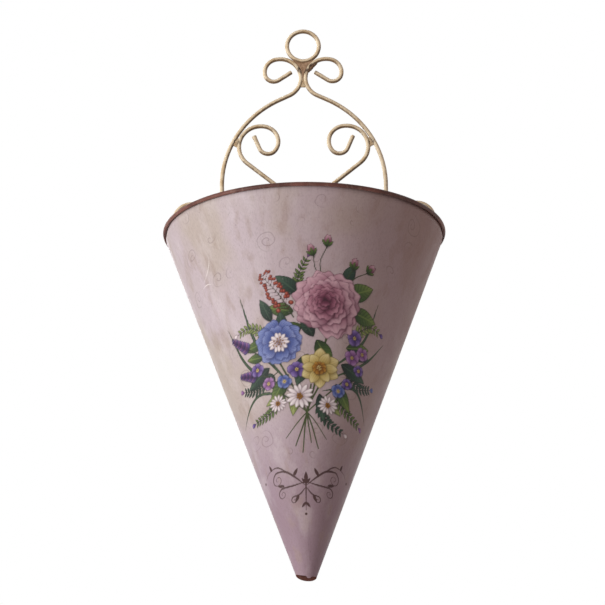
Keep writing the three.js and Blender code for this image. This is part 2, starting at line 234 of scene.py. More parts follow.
@dataclass
class PrintedTinplate(Finish):
    """Lithographed tinplate under satin stoving varnish: the eye sees a soft print like old limewashed
    paper, brushed and stained up and down, a low sheen, and the thin sheet's faint dents in it.
    Towards the right the ground darkens to mauve and then brown, which is painted shade on the side
    away from the light."""

    name: str = "lithographed_tinplate"
    blush: str = "#c3b5ba"
    cream: str = "#bbaea6"
    lilac: str = "#90798a"
    # painted shade: mauve and the brown below it darken the right-hand side, away from the light
    mauve: str = "#9c7f7d"
    far_right_shade: str = "#84594c"
    stain: str = "#a08c7f"
    chalk: str = "#d5cbcd"
    sepia: str = "#6f5d5b"
    lilac_down: tuple[float, float] = (115, 215)  # from where to where, down the sheet, lilac takes over
    mauve_shade_across: tuple[float, float] = (-75, 95)  # painted shade: from where to where, across it, mauve darkens the ground towards the right
    # painted shade: from where to where, across it, brown darkens the right-hand edge further
    far_right_shade_across: tuple[float, float] = (60, 135)
    curl_cell: tuple[float, float] = (27.0, 21.0)  # millimetres of the ground to one faded curl
    curl_bend: float = 9.0  # millimetres by which curls are bent out of round
    curl_pitch: float = 0.17  # from winding to winding, in cells
    curl_pen: float = 0.13  # width of the line, in windings
    curl_reach: tuple[float, float] = (0.12, 0.28)  # the least, and how much more it may be, in cells
    curl_end: float = 0.08  # over which a curl's outer end fades, in cells

    def build(self) -> Material:
        """Makes the material; the design comes from the mesh's own paint.

        Returns:
            The material.
        """
        self.start()
        sheet = self.add("ShaderNodeAttribute", attribute_name=SHEET).outputs["Vector"]
        across, down, _ = self.add("ShaderNodeSeparateXYZ", {0: sheet}).outputs
        ground = self.veil(self.blush, self.cream, self.clouds(48, tall=1.8), 0.40, 0.64)
        ground = self.veil(ground, self.lilac, down, *self.lilac_down, 0.85)
        run_down = self.clouds(8, tall=7, detail=4, shift=3.1)
        ground = self.veil(ground, self.stain, run_down, 0.52, 0.68, 0.40)
        washed = self.clouds(13, tall=2.5, detail=5, shift=8.7)
        ground = self.veil(ground, self.chalk, washed, 0.50, 0.70, 0.34)
        # painted shade: the ground darkens to mauve and then brown towards the right, the side away from the
        # light
        ground = self.veil(ground, self.mauve, across, *self.mauve_shade_across, 0.7)
        ground = self.veil(ground, self.far_right_shade, across, *self.far_right_shade_across, 0.6)
        # the brush marks are 0.9 mm wide, about twice the real ones, so that they show
        brushed = self.clouds(0.9, tall=16, detail=2, shift=12.0)
        ground = self.veil(ground, self.sepia, brushed, 0.40, 0.75, 0.16)
        ground = self.veil(ground, self.sepia, self.faded_curls(sheet), 0.0, 1.0, 0.36)
        # and so are the specks, for the same reason
        specks = self.clouds(0.9, detail=2, shift=5.3)
        ground = self.veil(ground, self.sepia, specks, 0.67, 0.74, 0.45)

        design = self.add("ShaderNodeAttribute", attribute_name=PAINT)
        worn = self.clouds(1.8, detail=4, shift=2.2)
        kept = self.add(
            "ShaderNodeMapRange",
            {"Value": worn, "From Min": 0.62, "From Max": 0.78, "To Min": 1.0, "To Max": 0.6},
        )
        cover = self.add("ShaderNodeMath", {0: design.outputs["Alpha"], 1: kept}, operation="MULTIPLY")
        colour = self.veil(ground, design.outputs["Color"], cover, 0.0, 1.0)
        skin = self.add(
            "ShaderNodeMath",
            {0: brushed, 1: 0.05, 2: self.clouds(26, tall=2.4, detail=1)},
            operation="MULTIPLY_ADD",
        )
        return self.close(colour, (0.46, 0.60), 11, skin, 0.5, Specular_IOR_Level=0.25)

    def faded_curls(self, sheet: NodeSocket) -> Node:
        """Faint pen curls scattered over the ground, one to a cell, each of its own size and turn.

        Args:
            sheet: Places on the unrolled sheet.

        Returns:
            A node that is 1 on the curls.
        """
        (wide, tall), pen, (least, more) = self.curl_cell, self.curl_pen, self.curl_reach
        flat = self.add(
            "ShaderNodeVectorMath",
            {0: self.clouds(12, detail=1, shift=4.4), 1: (self.curl_bend, 0.0, 0.0), 2: sheet},
            operation="MULTIPLY_ADD",
        )
        flat = self.add("ShaderNodeVectorMath", {0: flat, 1: (1 / wide, 1 / tall, 0.0)}, operation="MULTIPLY")
        cells = self.add(
            "ShaderNodeTexVoronoi",
            {"Vector": flat, "Scale": 1.0, "Randomness": 0.75},
            voronoi_dimensions="2D",
        ).outputs
        own = self.add("ShaderNodeSeparateColor", {0: cells["Color"]}).outputs
        around = self.add("ShaderNodeVectorMath", {0: flat, 1: cells["Position"]}, operation="SUBTRACT")
        turn = self.add("ShaderNodeTexGradient", {0: around}, gradient_type="RADIAL").outputs["Fac"]
        turn = self.add("ShaderNodeMath", {0: turn, 1: own[0]}, operation="ADD")
        wound = self.add(
            "ShaderNodeMath",
            {0: cells["Distance"], 1: 1 / self.curl_pitch, 2: turn},
            operation="MULTIPLY_ADD",
        )
        off = self.add("ShaderNodeMath", {0: wound, 1: 0.5}, operation="PINGPONG")
        line = self.add(
            "ShaderNodeMapRange",
            {"Value": off, "From Min": 0.4 * pen, "From Max": pen, "To Min": 1.0, "To Max": 0.0},
        )
        reach = self.add("ShaderNodeMath", {0: own[1], 1: more, 2: least}, operation="MULTIPLY_ADD")
        short = self.add("ShaderNodeMath", {0: reach, 1: cells["Distance"]}, operation="SUBTRACT")
        ends = self.add("ShaderNodeMapRange", {"Value": short, "From Max": self.curl_end, "To Max": line})
        kept = self.add(
            "ShaderNodeMapRange", {"Value": self.clouds(30, shift=6.1), "From Min": 0.42, "From Max": 0.58}
        )
        return self.add("ShaderNodeMath", {0: ends, 1: kept}, operation="MULTIPLY")


@dataclass
class BrownLacquer(Finish):
    """The brown stoving lacquer of the sheet's other side: smooth, with a low gloss, cloudy where it
    flowed, with fine rubbed scratches and dull spots."""

    name: str = "brown_stoving_lacquer"
    lacquer: str = "#744a41"
    deep: str = "#4e302a"
    rubbed: str = "#94796a"
    spot: str = "#38241f"

    def build(self) -> Material:
        """Lays cloudy lacquer, scratches and dull spots over each other.

        Returns:
            The material.
        """
        self.start()
        colour = self.veil(self.lacquer, self.deep, self.clouds(22, detail=4), 0.35, 0.68)
        # a single scratch is too fine to show, so they are drawn as bundles 2.5 mm wide
        scratched = self.clouds(2.5, tall=9, detail=4, shift=4.0)
        colour = self.veil(colour, self.rubbed, scratched, 0.50, 0.72, 0.35)
        # the dull spots are 0.8 mm wide, about twice the real ones, so that they show
        grain = self.clouds(0.8, shift=7.0)
        colour = self.veil(colour, self.spot, grain, 0.60, 0.75, 0.3)
        skin = self.add(
            "ShaderNodeMath",
            {0: grain, 1: 0.12, 2: self.clouds(24, detail=1, shift=3.0)},
            operation="MULTIPLY_ADD",
        )
        return self.close(colour, (0.44, 0.60), 8, skin, 0.4, Specular_IOR_Level=0.25)


@dataclass
class CreamEnamelWire(Finish):
    """Cream enamel on drawn steel wire under a cloudy antique gold glaze: pale and a little glossy above
    and at the sides, golden brown below, which is painted shade on the underside, with brown flecks,
    and scorched beside the joints."""

    joints: Sequence[tuple[Vector, float]] = ()  # each one's middle in metres, and reach in millimetres
    name: str = "cream_enamel_on_wire"
    cream: str = "#f9e7c5"
    gold: str = "#d8ba8d"
    brown: str = "#6a4e30"
    scorch: str = "#4a3325"
    painted_shade_towards: tuple[float, float, float] = (0.25, 0.0, -0.97)  # painted shade: surfaces that face this way are darkened to brown
    scorch_fade: float = 0.55  # share of a joint's reach over which its scorch fades

    def build(self) -> Material:
        """Lays gold and brown glaze and the joints' scorch over cream enamel.

        Returns:
            Lays gold glaze, brown painted shade on the underside, brown flecks and the joints' scorch over
            cream enamel.
        """
        self.start()
        colour = self.veil(self.cream, self.gold, self.clouds(7, detail=4), 0.45, 0.70, 0.75)
        # painted shade: the wire's underside is darkened to brown by the way its surface faces
        normal = self.add("ShaderNodeNewGeometry").outputs["Normal"]
        facing = self.add("ShaderNodeVectorMath", {0: normal, 1: self.painted_shade_towards}, operation="DOT_PRODUCT")
        ragged = self.add(
            "ShaderNodeMath",
            {0: self.clouds(2.2, shift=8.0), 1: 0.7, 2: facing.outputs["Value"]},
            operation="MULTIPLY_ADD",
        )
        colour = self.veil(colour, self.brown, ragged, 0.28, 0.92, 0.92)
        fleck = self.clouds(1.6, detail=4, shift=3.3)
        colour = self.veil(colour, self.brown, fleck, 0.60, 0.78, 0.35)
        for middle, reach in self.joints:
            away = self.add("ShaderNodeVectorMath", {0: self.place, 1: middle / MM}, operation="DISTANCE")
            ragged = self.add(
                "ShaderNodeMath", {0: fleck, 1: -reach, 2: away.outputs["Value"]}, operation="MULTIPLY_ADD"
            )
            colour = self.veil(self.scorch, colour, ragged, 0.0, self.scorch_fade * reach)
        return self.close(colour, (0.36, 0.50), 4, self.clouds(1.1, shift=6.6), 0.05, Specular_IOR_Level=0.3)


@dataclass
class Braze(Finish):
    """Brazing metal left by the torch: rough and pitted, burnt brown or under thin cream enamel."""

    name: str = "burnt_braze"
    metal: str = "#9c7c60"
    pale: str = "#b8987a"
    burnt: str = "#5a4130"

    def build(self) -> Material:
        """Mixes bare metal with its paler and burnt places.

        Returns:
            The material.
        """
        self.start()
        colour = self.veil(self.metal, self.pale, self.clouds(2.4), 0.42, 0.62)
        colour = self.veil(colour, self.burnt, self.clouds(1.1, shift=4.2), 0.54, 0.70, 0.8)
        return self.close(colour, (0.55, 0.65), 3, self.clouds(0.7), 0.12, Specular_IOR_Level=0.3)


# ---------- Meshes ----------


@dataclass
class Hanging:
    """Where the object hangs: the nail's height above the middle of the rim."""

    nail_height: float

    def place(self, points: np.ndarray) -> np.ndarray:
        """Millimetres from the middle of the rim as metres from the nail."""
        return (np.asarray(points, float) - (0.0, 0.0, self.nail_height)) * MM


class Patchwork:
    """Grids and polygons of points that are sewn into one mesh wherever their edges meet."""

    SEAM = 4  # decimals of a millimetre in which points that meet agree

    def __init__(self) -> None:
        """Starts without any faces."""
        self.points: list[np.ndarray] = []
        self.faces: list[tuple[int, ...]] = []
        self.finishes: list[int] = []
        self.paints: list[np.ndarray] = []
        self.count = 0

    def add(self, points: np.ndarray, faces: Sequence[Sequence[int]], finish: int = 0,
            paints: np.ndarray | None = None) -> None:
        """Adds polygons.

        Args:
            points: Their corners.
            faces: The corners' numbers, polygon by polygon.
            finish: Number of the material that they wear.
            paints: Colour and cover of each point, if the design is on them.
        """
        self.points.append(np.asarray(points, float).reshape(-1, 3))
        self.faces += [tuple(int(corner) + self.count for corner in face) for face in faces]
        self.finishes += [finish] * len(faces)
        self.paints.append(np.zeros((len(self.points[-1]), 4)) if paints is None else paints)
        self.count += len(self.points[-1])

    def grid(self, columns: np.ndarray, finish: int = 0, round_columns: bool = False) -> None:
        """Adds a net of four-sided faces.

        Args:
            columns: Its points, column by column.
            finish: Number of its material.
            round_columns: True where each column ends where it starts.
        """
        wide, tall = columns.shape[:2]
        last = tall if round_columns else tall - 1
        faces = [
            (c * tall + r, (c + 1) * tall + r, (c + 1) * tall + (r + 1) % tall, c * tall + (r + 1) % tall)
            for c in range(wide - 1)
            for r in range(last)
        ]
        self.add(columns.reshape(-1, 3), faces, finish)

    def polygon(self, ring: np.ndarray, finish: int = 0) -> None:
        """Adds one flat face."""
        self.add(ring, [range(len(ring))], finish)

    def sew(self, name: str, hanging: Hanging) -> Object:
        """Sews all faces together where their points meet.

        Args:
            name: The object's name.
            hanging: Where the object hangs.

        Returns:
            The object, facing outwards, in the row frame.
        """
        points = np.concatenate(self.points)
        meeting = np.round(points, self.SEAM)
        _, first, sewn = np.unique(meeting, axis=0, return_index=True, return_inverse=True)
        sewn = sewn.reshape(-1)
        mesh = bpy.data.meshes.new(name)
        faces, finishes = [], []
        for face, finish in zip(self.faces, self.finishes):
            corners = list(dict.fromkeys(int(sewn[corner]) for corner in face))
            if len(corners) > 2:
                faces.append(corners)
                finishes.append(finish)
        mesh.from_pydata(hanging.place(points[first]), [], faces)
        mesh.polygons.foreach_set("material_index", finishes)
        paints = np.concatenate(self.paints)[first]
        if paints.any():
            attribute = mesh.attributes.new(PAINT, "FLOAT_COLOR", "POINT")
            attribute.data.foreach_set("color", paints.astype(np.float32).reshape(-1))
        face_outwards(mesh)
        return bpy.data.objects.new(name, mesh)


def face_outwards(mesh: Mesh) -> None:
    """Turns every face outwards, and shades the mesh smooth between its sharp folds.

    Args:
        mesh: The mesh, which is changed.
    """
    work = bmesh.new()
    work.from_mesh(mesh)
    bmesh.ops.recalc_face_normals(work, faces=work.faces)
    work.to_mesh(mesh)
    work.free()
    mesh.polygons.foreach_set("use_smooth", [True] * len(mesh.polygons))
    mesh.set_sharp_from_angle(angle=SHARP_ANGLE)
    mesh.update()


def show(piece: Object, materials: Sequence[Material], slot: str, *nodes: str) -> None:
    """Puts a piece in the scene in place of its solids.

    Args:
        piece: The piece, in the row frame.
        materials: The finishes that its faces wear, by number.
        slot: The record's material slot; not used.
        nodes: The solids that it stands for.
    """
    bpy.context.scene.collection.objects.link(piece)
    for material in materials:
        piece.data.materials.append(material)
    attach(piece, BODY)
    if nodes:
        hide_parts(*nodes)
    log.info("%s: %d faces", piece.name, len(piece.data.polygons))


# ---------- Bent wire ----------


class Plane(Enum):
    """The plane that a wire is bent in: its second axis, and the axis across it."""

    UPRIGHT = (2, 1)
    LEVEL = (1, 2)


class Side(Enum):
    """The side of the middle that a wire lies on, as the sign of its places across."""

    RIGHT = 1
    LEFT = -1


@dataclass
class BentWire:
    """A wire as a bender makes it: straight runs and bends from a start, where plus degrees turn left."""

    across: float
    along: float
    heading: float  # degrees
    runs: list[tuple[float, float, float]] = field(default_factory=list)  # radius, turn, length

    @staticmethod
    def move(place: np.ndarray, radius: float, turn: float, length: np.ndarray | float) -> np.ndarray:
        """Goes one run onwards.

        Args:
            place: Where it starts: across, along, and heading in radians.
            radius: Radius of the bend.
            turn: Plus for left, minus for right, 0 for straight on.
            length: How far, once or for many places.

        Returns:
            The place or places that it leads to.
        """
        length = np.asarray(length, float)
        if turn == 0:
            step = [length * np.cos(place[2]), length * np.sin(place[2]), np.zeros_like(length)]
            return place + np.stack(step, axis=-1)
        side = math.copysign(1, turn)
        turned = place[2] + side * length / radius
        step = [
            side * radius * (np.sin(turned) - np.sin(place[2])),
            side * radius * (np.cos(place[2]) - np.cos(turned)),
            turned - place[2],
        ]
        return place + np.stack(step, axis=-1)

    @property
    def start(self) -> np.ndarray:
        """The place where the wire starts."""
        return np.array([self.across, self.along, math.radians(self.heading)])

    @property
    def end(self) -> np.ndarray:
        """Where the wire ends.

        Returns:
            Across, along, and heading in radians.
        """
        place = self.start
        for run in self.runs:
            place = self.move(place, *run)
        return place

    @property
    def length(self) -> float:
        """The wire's length."""
        return sum(run[2] for run in self.runs)

    def straight(self, length: float) -> "BentWire":
        """Goes straight on."""
        self.runs.append((0.0, 0.0, length))
        return self

    def bend(self, radius: float, turn: float) -> "BentWire":
        """Turns by so many degrees on a radius."""
        self.runs.append((radius, turn, radius * abs(math.radians(turn))))
        return self

    def bends(self, bends: Sequence[tuple[float, float]], side: int) -> "BentWire":
        """Makes several bends to one side.

        Args:
            bends: Radius and degrees of each.
            side: 1 for left and -1 for right.

        Returns:
            The wire itself.
        """
        for radius, turn in bends:
            self.bend(radius, side * turn)
        return self

    def straight_then_bend(self, radius: float, heading: float, across: float) -> "BentWire":
        """Goes straight on for as long as puts the end of the next bend in its place.

        Args:
            radius: Radius of the bend.
            heading: Degrees in which it ends.
            across: Where it ends.

        Returns:
            The wire itself.
        """
        place = self.end
        turn = heading - math.degrees(place[2])
        step = math.copysign(radius, turn) * (math.sin(math.radians(heading)) - math.sin(place[2]))
        self.straight((across - step - place[0]) / math.cos(place[2]))
        return self.bend(radius, turn)

    def reversed(self) -> "BentWire":
        """The same wire, begun at its other end.

        Returns:
            A new wire.
        """
        across, along, heading = self.end
        runs = [(radius, -turn, length) for radius, turn, length in reversed(self.runs)]
        return BentWire(across, along, math.degrees(heading) + 180, runs)

    def trace(self, step: float) -> np.ndarray:
        """Places along the wire, evenly spaced in each run, with both ends.

        Args:
            step: The widest spacing.

        Returns:
            Across, along and heading of each.
        """
        places = [self.start[None]]
        for radius, turn, length in self.runs:
            count = max(2, math.ceil(length / step) + 1)
            places.append(self.move(places[-1][-1], radius, turn, np.linspace(0, length, count)[1:]))
        return np.concatenate(places)


@dataclass(frozen=True)
class RoundWire:
    """How a wire is drawn: its thickness, its sides and the chamfer of its cut ends."""

    diameter: float
    sides: int = 20
    step: float = 0.9
    chamfer: float = 0.35

    def tube(self, wire: BentWire, plane: Plane, level: float, side: Side = Side.RIGHT,
             closed: bool = False, knob: float = 0.0) -> Patchwork:
        """The wire's skin.

        Args:
            wire: Its middle line.
            plane: The plane that it is bent in.
            level: Where that plane lies on the axis across it.
            side: The side that it is made for.
            closed: True for a hoop, which has no ends.
            knob: How much thicker a drop of paint makes its far end.

        Returns:
            The skin, ready to sew.
        """
        trace = wire.trace(self.step)
        second, normal = plane.value
        thick = np.full(len(trace), self.diameter / 2)
        if not closed:
            ends = [wire.move(trace[0], 0, 0, self.chamfer), wire.move(trace[-1], 0, 0, -self.chamfer)]
            inner = (trace[:, :2] - trace[0, :2], trace[:, :2] - trace[-1, :2])
            clear = 1.5 * self.chamfer  # nearer to an end than this, no ring is kept
            keep = np.all([np.hypot(*away.T) > clear for away in inner], axis=0)
            trace = np.concatenate([trace[:1], ends[0][None], trace[keep], ends[1][None], trace[-1:]])
            left = wire.length - np.linspace(0, wire.length, len(trace))
            thick = self.diameter / 2 + knob * np.exp(-((left / self.diameter) ** 2))
            thick[[0, -1]] -= self.chamfer
        around = np.linspace(0, 2 * math.pi, self.sides, endpoint=False)
        inward = np.zeros((len(trace), 1, 3))
        inward[:, 0, 0] = -np.sin(trace[:, 2])
        inward[:, 0, second] = np.cos(trace[:, 2])
        crosswise = np.eye(3)[normal]
        middle = np.zeros((len(trace), 1, 3))
        middle[:, 0, 0] = trace[:, 0]
        middle[:, 0, second] = trace[:, 1]
        middle[:, 0, normal] = level
        ring = inward * np.cos(around)[None, :, None] + crosswise * np.sin(around)[None, :, None]
        skin = middle + ring * thick[:, None, None]
        skin[..., 0] *= side.value
        work = Patchwork()
        work.grid(skin, round_columns=True)
        if not closed:
            work.polygon(skin[0])
            work.polygon(skin[-1])
        return work


# ---------- Scroll frame ----------


@dataclass
class ScrollFrame:
    """The hanger: two main scrolls, two heart scrolls between them, and the ring that they carry.

    A curl is given as the radius and the degrees of each bend in it.
    """

    fit: float = 0.3
    wire: float = 3.0
    ring_radius: float = 11.3
    leg_spread: float = 116.4
    leg_rise: float = 26.0
    foot_curl: Pairs = ((17, 180), (12.5, 120), (8, 80))
    arch_radius: float = 72.0
    arch_turn: float = 64.7
    neck_radius: float = 14.5
    top_curl: Pairs = ((14.6, 105), (9.8, 88.5), (6.3, 110))
    top_curl_end: float = 11.0
    heart_contact: float = 34.0
    heart_curl: Pairs = ((15.4, 70), (11.5, 112.5), (6.4, 121))
    heart_curl_end: float = 10.4
    heart_side: tuple[float, float] = (16.1, 84.6)
    stem_bend: float = 8.0
    roll_radius: float = 1.75  # of the back's rolled edge, on which the frame stands
    joints: dict[str, float] = field(
        default_factory=lambda: {
            "ring_weld": 5.0,
            "neck_weld": 1.6,
            "heart_weld_right": 3.0,
            "heart_weld_left": 3.0,
            "foot_weld_right": 5.0,
            "foot_weld_left": 5.0,
            "stem_weld": 4.0,
        }
    )  # how far each has browned the wire
    enamelled: tuple[str, ...] = ("neck_weld", "heart_weld_right", "heart_weld_left")
    # beads of spilt braze: degrees round the right-hand top curl, and radius
    spill: Pairs = ((121, 0.8), (128, 1.15), (135, 1.35), (142, 1.4), (149, 1.2), (156, 0.8))
    # the browned place there: degrees round the curl, depth inside the wire, and reach
    spill_scorch: tuple[float, float, float] = (139, 1.6, 4.8)
    wetting: float = 0.1  # how far past the gap the braze swells, so that it wets the wires
    knob: float = 0.24  # a drop of paint at the end of the left-hand heart scroll

    @property
    def pair_offset(self) -> float:
        """How far off the middle each of two wires side by side lies."""
        return (self.wire + self.fit) / 2

    @property
    def seat(self) -> float:
        """Where what stands on the rolled edge starts."""
        return self.roll_radius + self.fit

    @cached_property
    def foot(self) -> BentWire:
        """The right-hand foot curl, from the leg to its free end."""
        height = self.seat + self.wire / 2 + self.foot_curl[0][0]
        return BentWire(self.leg_spread / 2, height, -90).bends(self.foot_curl, 1)

    @cached_property
    def arch_start(self) -> np.ndarray:
        """Where the right-hand leg begins to lean over."""
        return self.foot.reversed().straight(self.leg_rise).end

    @cached_property
    def main(self) -> BentWire:
        """The right-hand main scroll up to the neck."""
        scroll = self.foot.reversed().straight(self.leg_rise).bend(self.arch_radius, self.arch_turn)
        return scroll.straight_then_bend(self.neck_radius, 90, self.pair_offset)

    @cached_property
    def main_scroll(self) -> BentWire:
        """The whole right-hand main scroll."""
        neck = BentWire(self.main.across, self.main.along, self.main.heading, list(self.main.runs))
        return neck.bends(self.top_curl, -1).straight(self.top_curl_end)

    @cached_property
    def heart_scroll(self) -> BentWire:
        """The right-hand heart scroll, from the foot of its tail.

        Returns:
            The wire.
        """
        contact = BentWire.move(
            self.arch_start, self.arch_radius, 1, self.arch_radius * math.radians(self.heart_contact)
        )
        inset = self.wire + self.fit
        across = contact[0] - inset * math.sin(contact[2])
        along = contact[1] + inset * math.cos(contact[2])
        tail = BentWire(across, along, math.degrees(contact[2]) + 180).bends([self.heart_side], -1)
        tail.straight_then_bend(self.stem_bend, 270, self.pair_offset)
        tail.straight(tail.end[1] - self.seat)
        return tail.reversed().bends(self.heart_curl, 1).straight(self.heart_curl_end)

    @cached_property
    def ring_height(self) -> float:
        """How high the ring lies, which rests on the shoulders of both top curls.

        Returns:
            Height of its middle.
        """
        shoulder = self.pair_offset + self.top_curl[0][0]
        reach = self.ring_radius + self.wire + self.fit + self.top_curl[0][0]
        return self.main.end[1] + math.sqrt(reach**2 - shoulder**2)

    @property
    def nail_height(self) -> float:
        """Height of the top of the ring's inside, where the nail bears."""
        return self.ring_height + self.ring_radius - self.wire / 2

    def scorched(self, hanging: Hanging) -> list[tuple[Vector, float]]:
        """Where the torch has browned the wires.

        Args:
            hanging: Where the object hangs.

        Returns:
            A place in metres and a reach in millimetres each.
        """
        places = []
        for joint, reach in self.joints.items():
            low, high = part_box(joint)
            places.append(((low + high) / 2, reach))
        angle, inside, reach = self.spill_scorch
        return [*places, (Vector(hanging.place(self.inside_curl(angle, inside))), reach)]

    def inside_curl(self, angle: float, inside: float) -> tuple[float, float, float]:
        """A place inside the right-hand top curl.

        Args:
            angle: Degrees round the curl.
            inside: Depth inside the wire.

        Returns:
            The place.
        """
        curl = self.top_curl[0][0]
        reach = curl - self.wire / 2 - inside
        turn = math.radians(angle)
        across = self.pair_offset + curl + reach * math.cos(turn)
        return across, -self.roll_radius, self.main.end[1] + reach * math.sin(turn)

    def spilt_braze(self, hanging: Hanging) -> Mesh:
        """Beads of braze that ran through the fork into the right-hand top curl.

        Args:
            hanging: Where the object hangs.

        Returns:
            The beads, not yet run together.
        """
        melt = bmesh.new()
        for angle, radius in self.spill:
            place = Vector(hanging.place(self.inside_curl(angle, 0.0)))
            bead = Matrix.Translation(place)
            bmesh.ops.create_icosphere(melt, subdivisions=3, radius=radius * MM, matrix=bead)
        mesh = bpy.data.meshes.new("spilt_beads")
        melt.to_mesh(mesh)
        melt.free()
        return mesh

    def build(self, hanging: Hanging, burnt: Material, painted: Material) -> None:
        """Makes the wires and their joints and puts them in the scene.

        Args:
            hanging: Where the object hangs.
            burnt: Finish of bare braze.
            painted: Finish of braze under enamel.
        """
        enamel = CreamEnamelWire(joints=self.scorched(hanging)).build()
        drawn = RoundWire(self.wire)
        level = -self.roll_radius
        for side in Side:
            hand = side.name.lower()
            scroll = drawn.tube(self.main_scroll, Plane.UPRIGHT, level, side)
            show(scroll.sew(f"scroll_{hand}", hanging), [enamel], "cream_wire", f"main_scroll_{hand}")
            knob = self.knob if side is Side.LEFT else 0.0
            heart = drawn.tube(self.heart_scroll, Plane.UPRIGHT, level, side, knob=knob)
            show(heart.sew(f"heart_{hand}", hanging), [enamel], "cream_wire", f"heart_scroll_{hand}")
        ring = BentWire(self.ring_radius, self.ring_height, 90).bend(self.ring_radius, 360)
        hoop = drawn.tube(ring, Plane.UPRIGHT, level, closed=True)
        show(hoop.sew("ring", hanging), [enamel], "cream_wire", "hanging_ring")
        for joint in self.joints:
            braze = painted if joint in self.enamelled else burnt
            solid = bpy.data.objects[joint].data.copy()
            swell = self.fit + self.wetting
            show(run_braze(f"{joint}_run", solid, swell), [braze], "brown_weld", joint)
        scorched = Braze("scorched_braze", metal="#6f523b", pale="#86694e", burnt="#3a281c").build()
        show(run_braze("ring_weld_spill", self.spilt_braze(hanging), 0.0), [scorched], "brown_weld")


BRAZE_CELL = 0.22  # millimetres to a cell of the even mesh that braze is made of
BRAZE_LUMPS = 0.14  # millimetres that its lumps stand out
BRAZE_SOFTENING = (0.6, 4)  # how much a pass of smoothing rounds it, and how many passes


def run_braze(name: str, poured: Mesh, swell: float) -> Object:
    """Braze as the torch leaves it: a solid with soft edges and lumps, swollen until it wets the wires.

    Args:
        name: The piece's name.
        poured: The solid.
        swell: How far it swells in the wall's plane, in millimetres.

    Returns:
        The piece, in the row frame.
    """
    blank = bpy.data.objects.new(f"{name}_blank", poured)
    bpy.context.scene.collection.objects.link(blank)
    remesh = blank.modifiers.new("even", "REMESH")
    remesh.mode, remesh.voxel_size = "VOXEL", BRAZE_CELL * MM
    soften = blank.modifiers.new("soften", "SMOOTH")
    soften.factor, soften.iterations = BRAZE_SOFTENING
    even = blank.evaluated_get(bpy.context.evaluated_depsgraph_get())
    mesh = bpy.data.meshes.new_from_object(even)
    mesh.materials.clear()
    bpy.data.objects.remove(blank)
    for vertex in mesh.vertices:
        x, y, z = vertex.co / MM
        lump = math.sin(2.3 * x + 1.1 * z) * math.sin(1.9 * z - 0.7 * x + 2.1 * y)
        swollen = vertex.normal * (swell + BRAZE_LUMPS * lump) * MM
        vertex.co += Vector((swollen.x, 0.0, swollen.z))
    mesh.polygons.foreach_set("use_smooth", [True] * len(mesh.polygons))
    mesh.name = name
    return bpy.data.objects.new(name, mesh)


# ---------- Printed design ----------


@dataclass(frozen=True)
class Tones:
    """The four colours of a petal or leaf: at its foot, on its body, at its lit edge, and its lines."""

    foot: str
    body: str
    edge: str
    line: str


class Palette:
    """The print's inks, as tones."""

    PEONY_OUTER = Tones("#4a2433", "#8d586a", "#d3b0b8", "#3b1b28")
    PEONY_MIDDLE = Tones("#401b2a", "#7b4558", "#c0909d", "#331520")
    PEONY_HEART = Tones("#331421", "#643245", "#a66f80", "#270f18")
    BLUE = Tones("#b9b7cf", "#3b4a86", "#8f9bc8", "#1d2150")
    YELLOW = Tones("#7d6230", "#b9a260", "#dccf9f", "#57461c")
    AMBER = Tones("#46280f", "#86571e", "#bd8d3c", "#331c0b")
    WHITE = Tones("#97828a", "#ddd1d3", "#f3ecea", "#5f4b50")
    VIOLET = Tones("#2c1d44", "#5d4784", "#9a86bb", "#1f1430")
    MAUVE = Tones("#4f2e55", "#85598d", "#bd97c0", "#361e3b")
    LEAF = Tones("#1f2c17", "#44582d", "#828f50", "#131b0c")
    DARK_LEAF = Tones("#101915", "#26382d", "#475b49", "#0a100c")
    PALE_LEAF = Tones("#414f27", "#707e42", "#a5aa6e", "#262f16")
    STEM = "#2f3820"
    BERRY = Tones("#4e1613", "#86352a", "#c47a62", "#330d0b")
    INK = "#46302f"


class Canvas:
    """The print's ground: a fine net over the round wall, on which inks are laid one over another.

    ``u`` is the way along the sheet to the right of the middle, and ``v`` the way up from the
    middle of the bouquet, both in millimetres.
    """

    SLACK = 2.0  # millimetres by which a row's height may stray from its middle's

    def __init__(self, u: np.ndarray, v: np.ndarray) -> None:
        """Starts without ink.

        Args:
            u: Of each point of the net.
            v: Of each point.
        """
        self.u, self.v = u, v
        self.ink = np.zeros((*u.shape, 3))
        self.cover = np.zeros(u.shape)
        self.heights = v[:, v.shape[1] // 2]

    def near(self, u: float, v: float, reach: float) -> tuple[slice, slice]:
        """The part of the net near a point.

        Args:
            u: The point.
            v: The point.
            reach: How far from it.

        Returns:
            Rows and columns.
        """
        rows = np.nonzero(np.abs(self.heights - v) <= reach + self.SLACK)[0]
        if not len(rows):
            return slice(0, 0), slice(0, 0)
        close = np.abs(self.u[[rows[0], rows[-1]]] - u) <= reach
        columns = np.nonzero(close.any(axis=0))[0]
        if not len(columns):
            return slice(0, 0), slice(0, 0)
        return slice(rows[0], rows[-1] + 1), slice(columns[0], columns[-1] + 1)

    def lay(self, block: tuple[slice, slice], share: np.ndarray, colour: np.ndarray) -> None:
        """Lays a colour over what is there.

        Args:
            block: Rows and columns.
            share: How well it covers.
            colour: The colour.
        """
        share = np.clip(share, 0, 1)
        self.ink[block] = self.ink[block] * (1 - share[..., None]) + colour * share[..., None]
        self.cover[block] = self.cover[block] * (1 - share) + share

    def paints(self) -> np.ndarray:
        """Linear colour and cover of every point of the net."""
        full = np.maximum(self.cover, 1e-6)[..., None]
        return np.concatenate([to_linear(np.clip(self.ink / full, 0, 1)), self.cover[..., None]], axis=-1)


def smooth(value: np.ndarray, low: float, high: float) -> np.ndarray:
    """0 up to low, rising smoothly to 1 at high."""
    share = np.clip((value - low) / (high - low), 0, 1)
    return share * share * (3 - 2 * share)


def blend(first: np.ndarray, second: np.ndarray, share: np.ndarray) -> np.ndarray:
    """Two colours mixed point by point; share 1 gives the second."""
    return first + (second - first) * share[..., None]


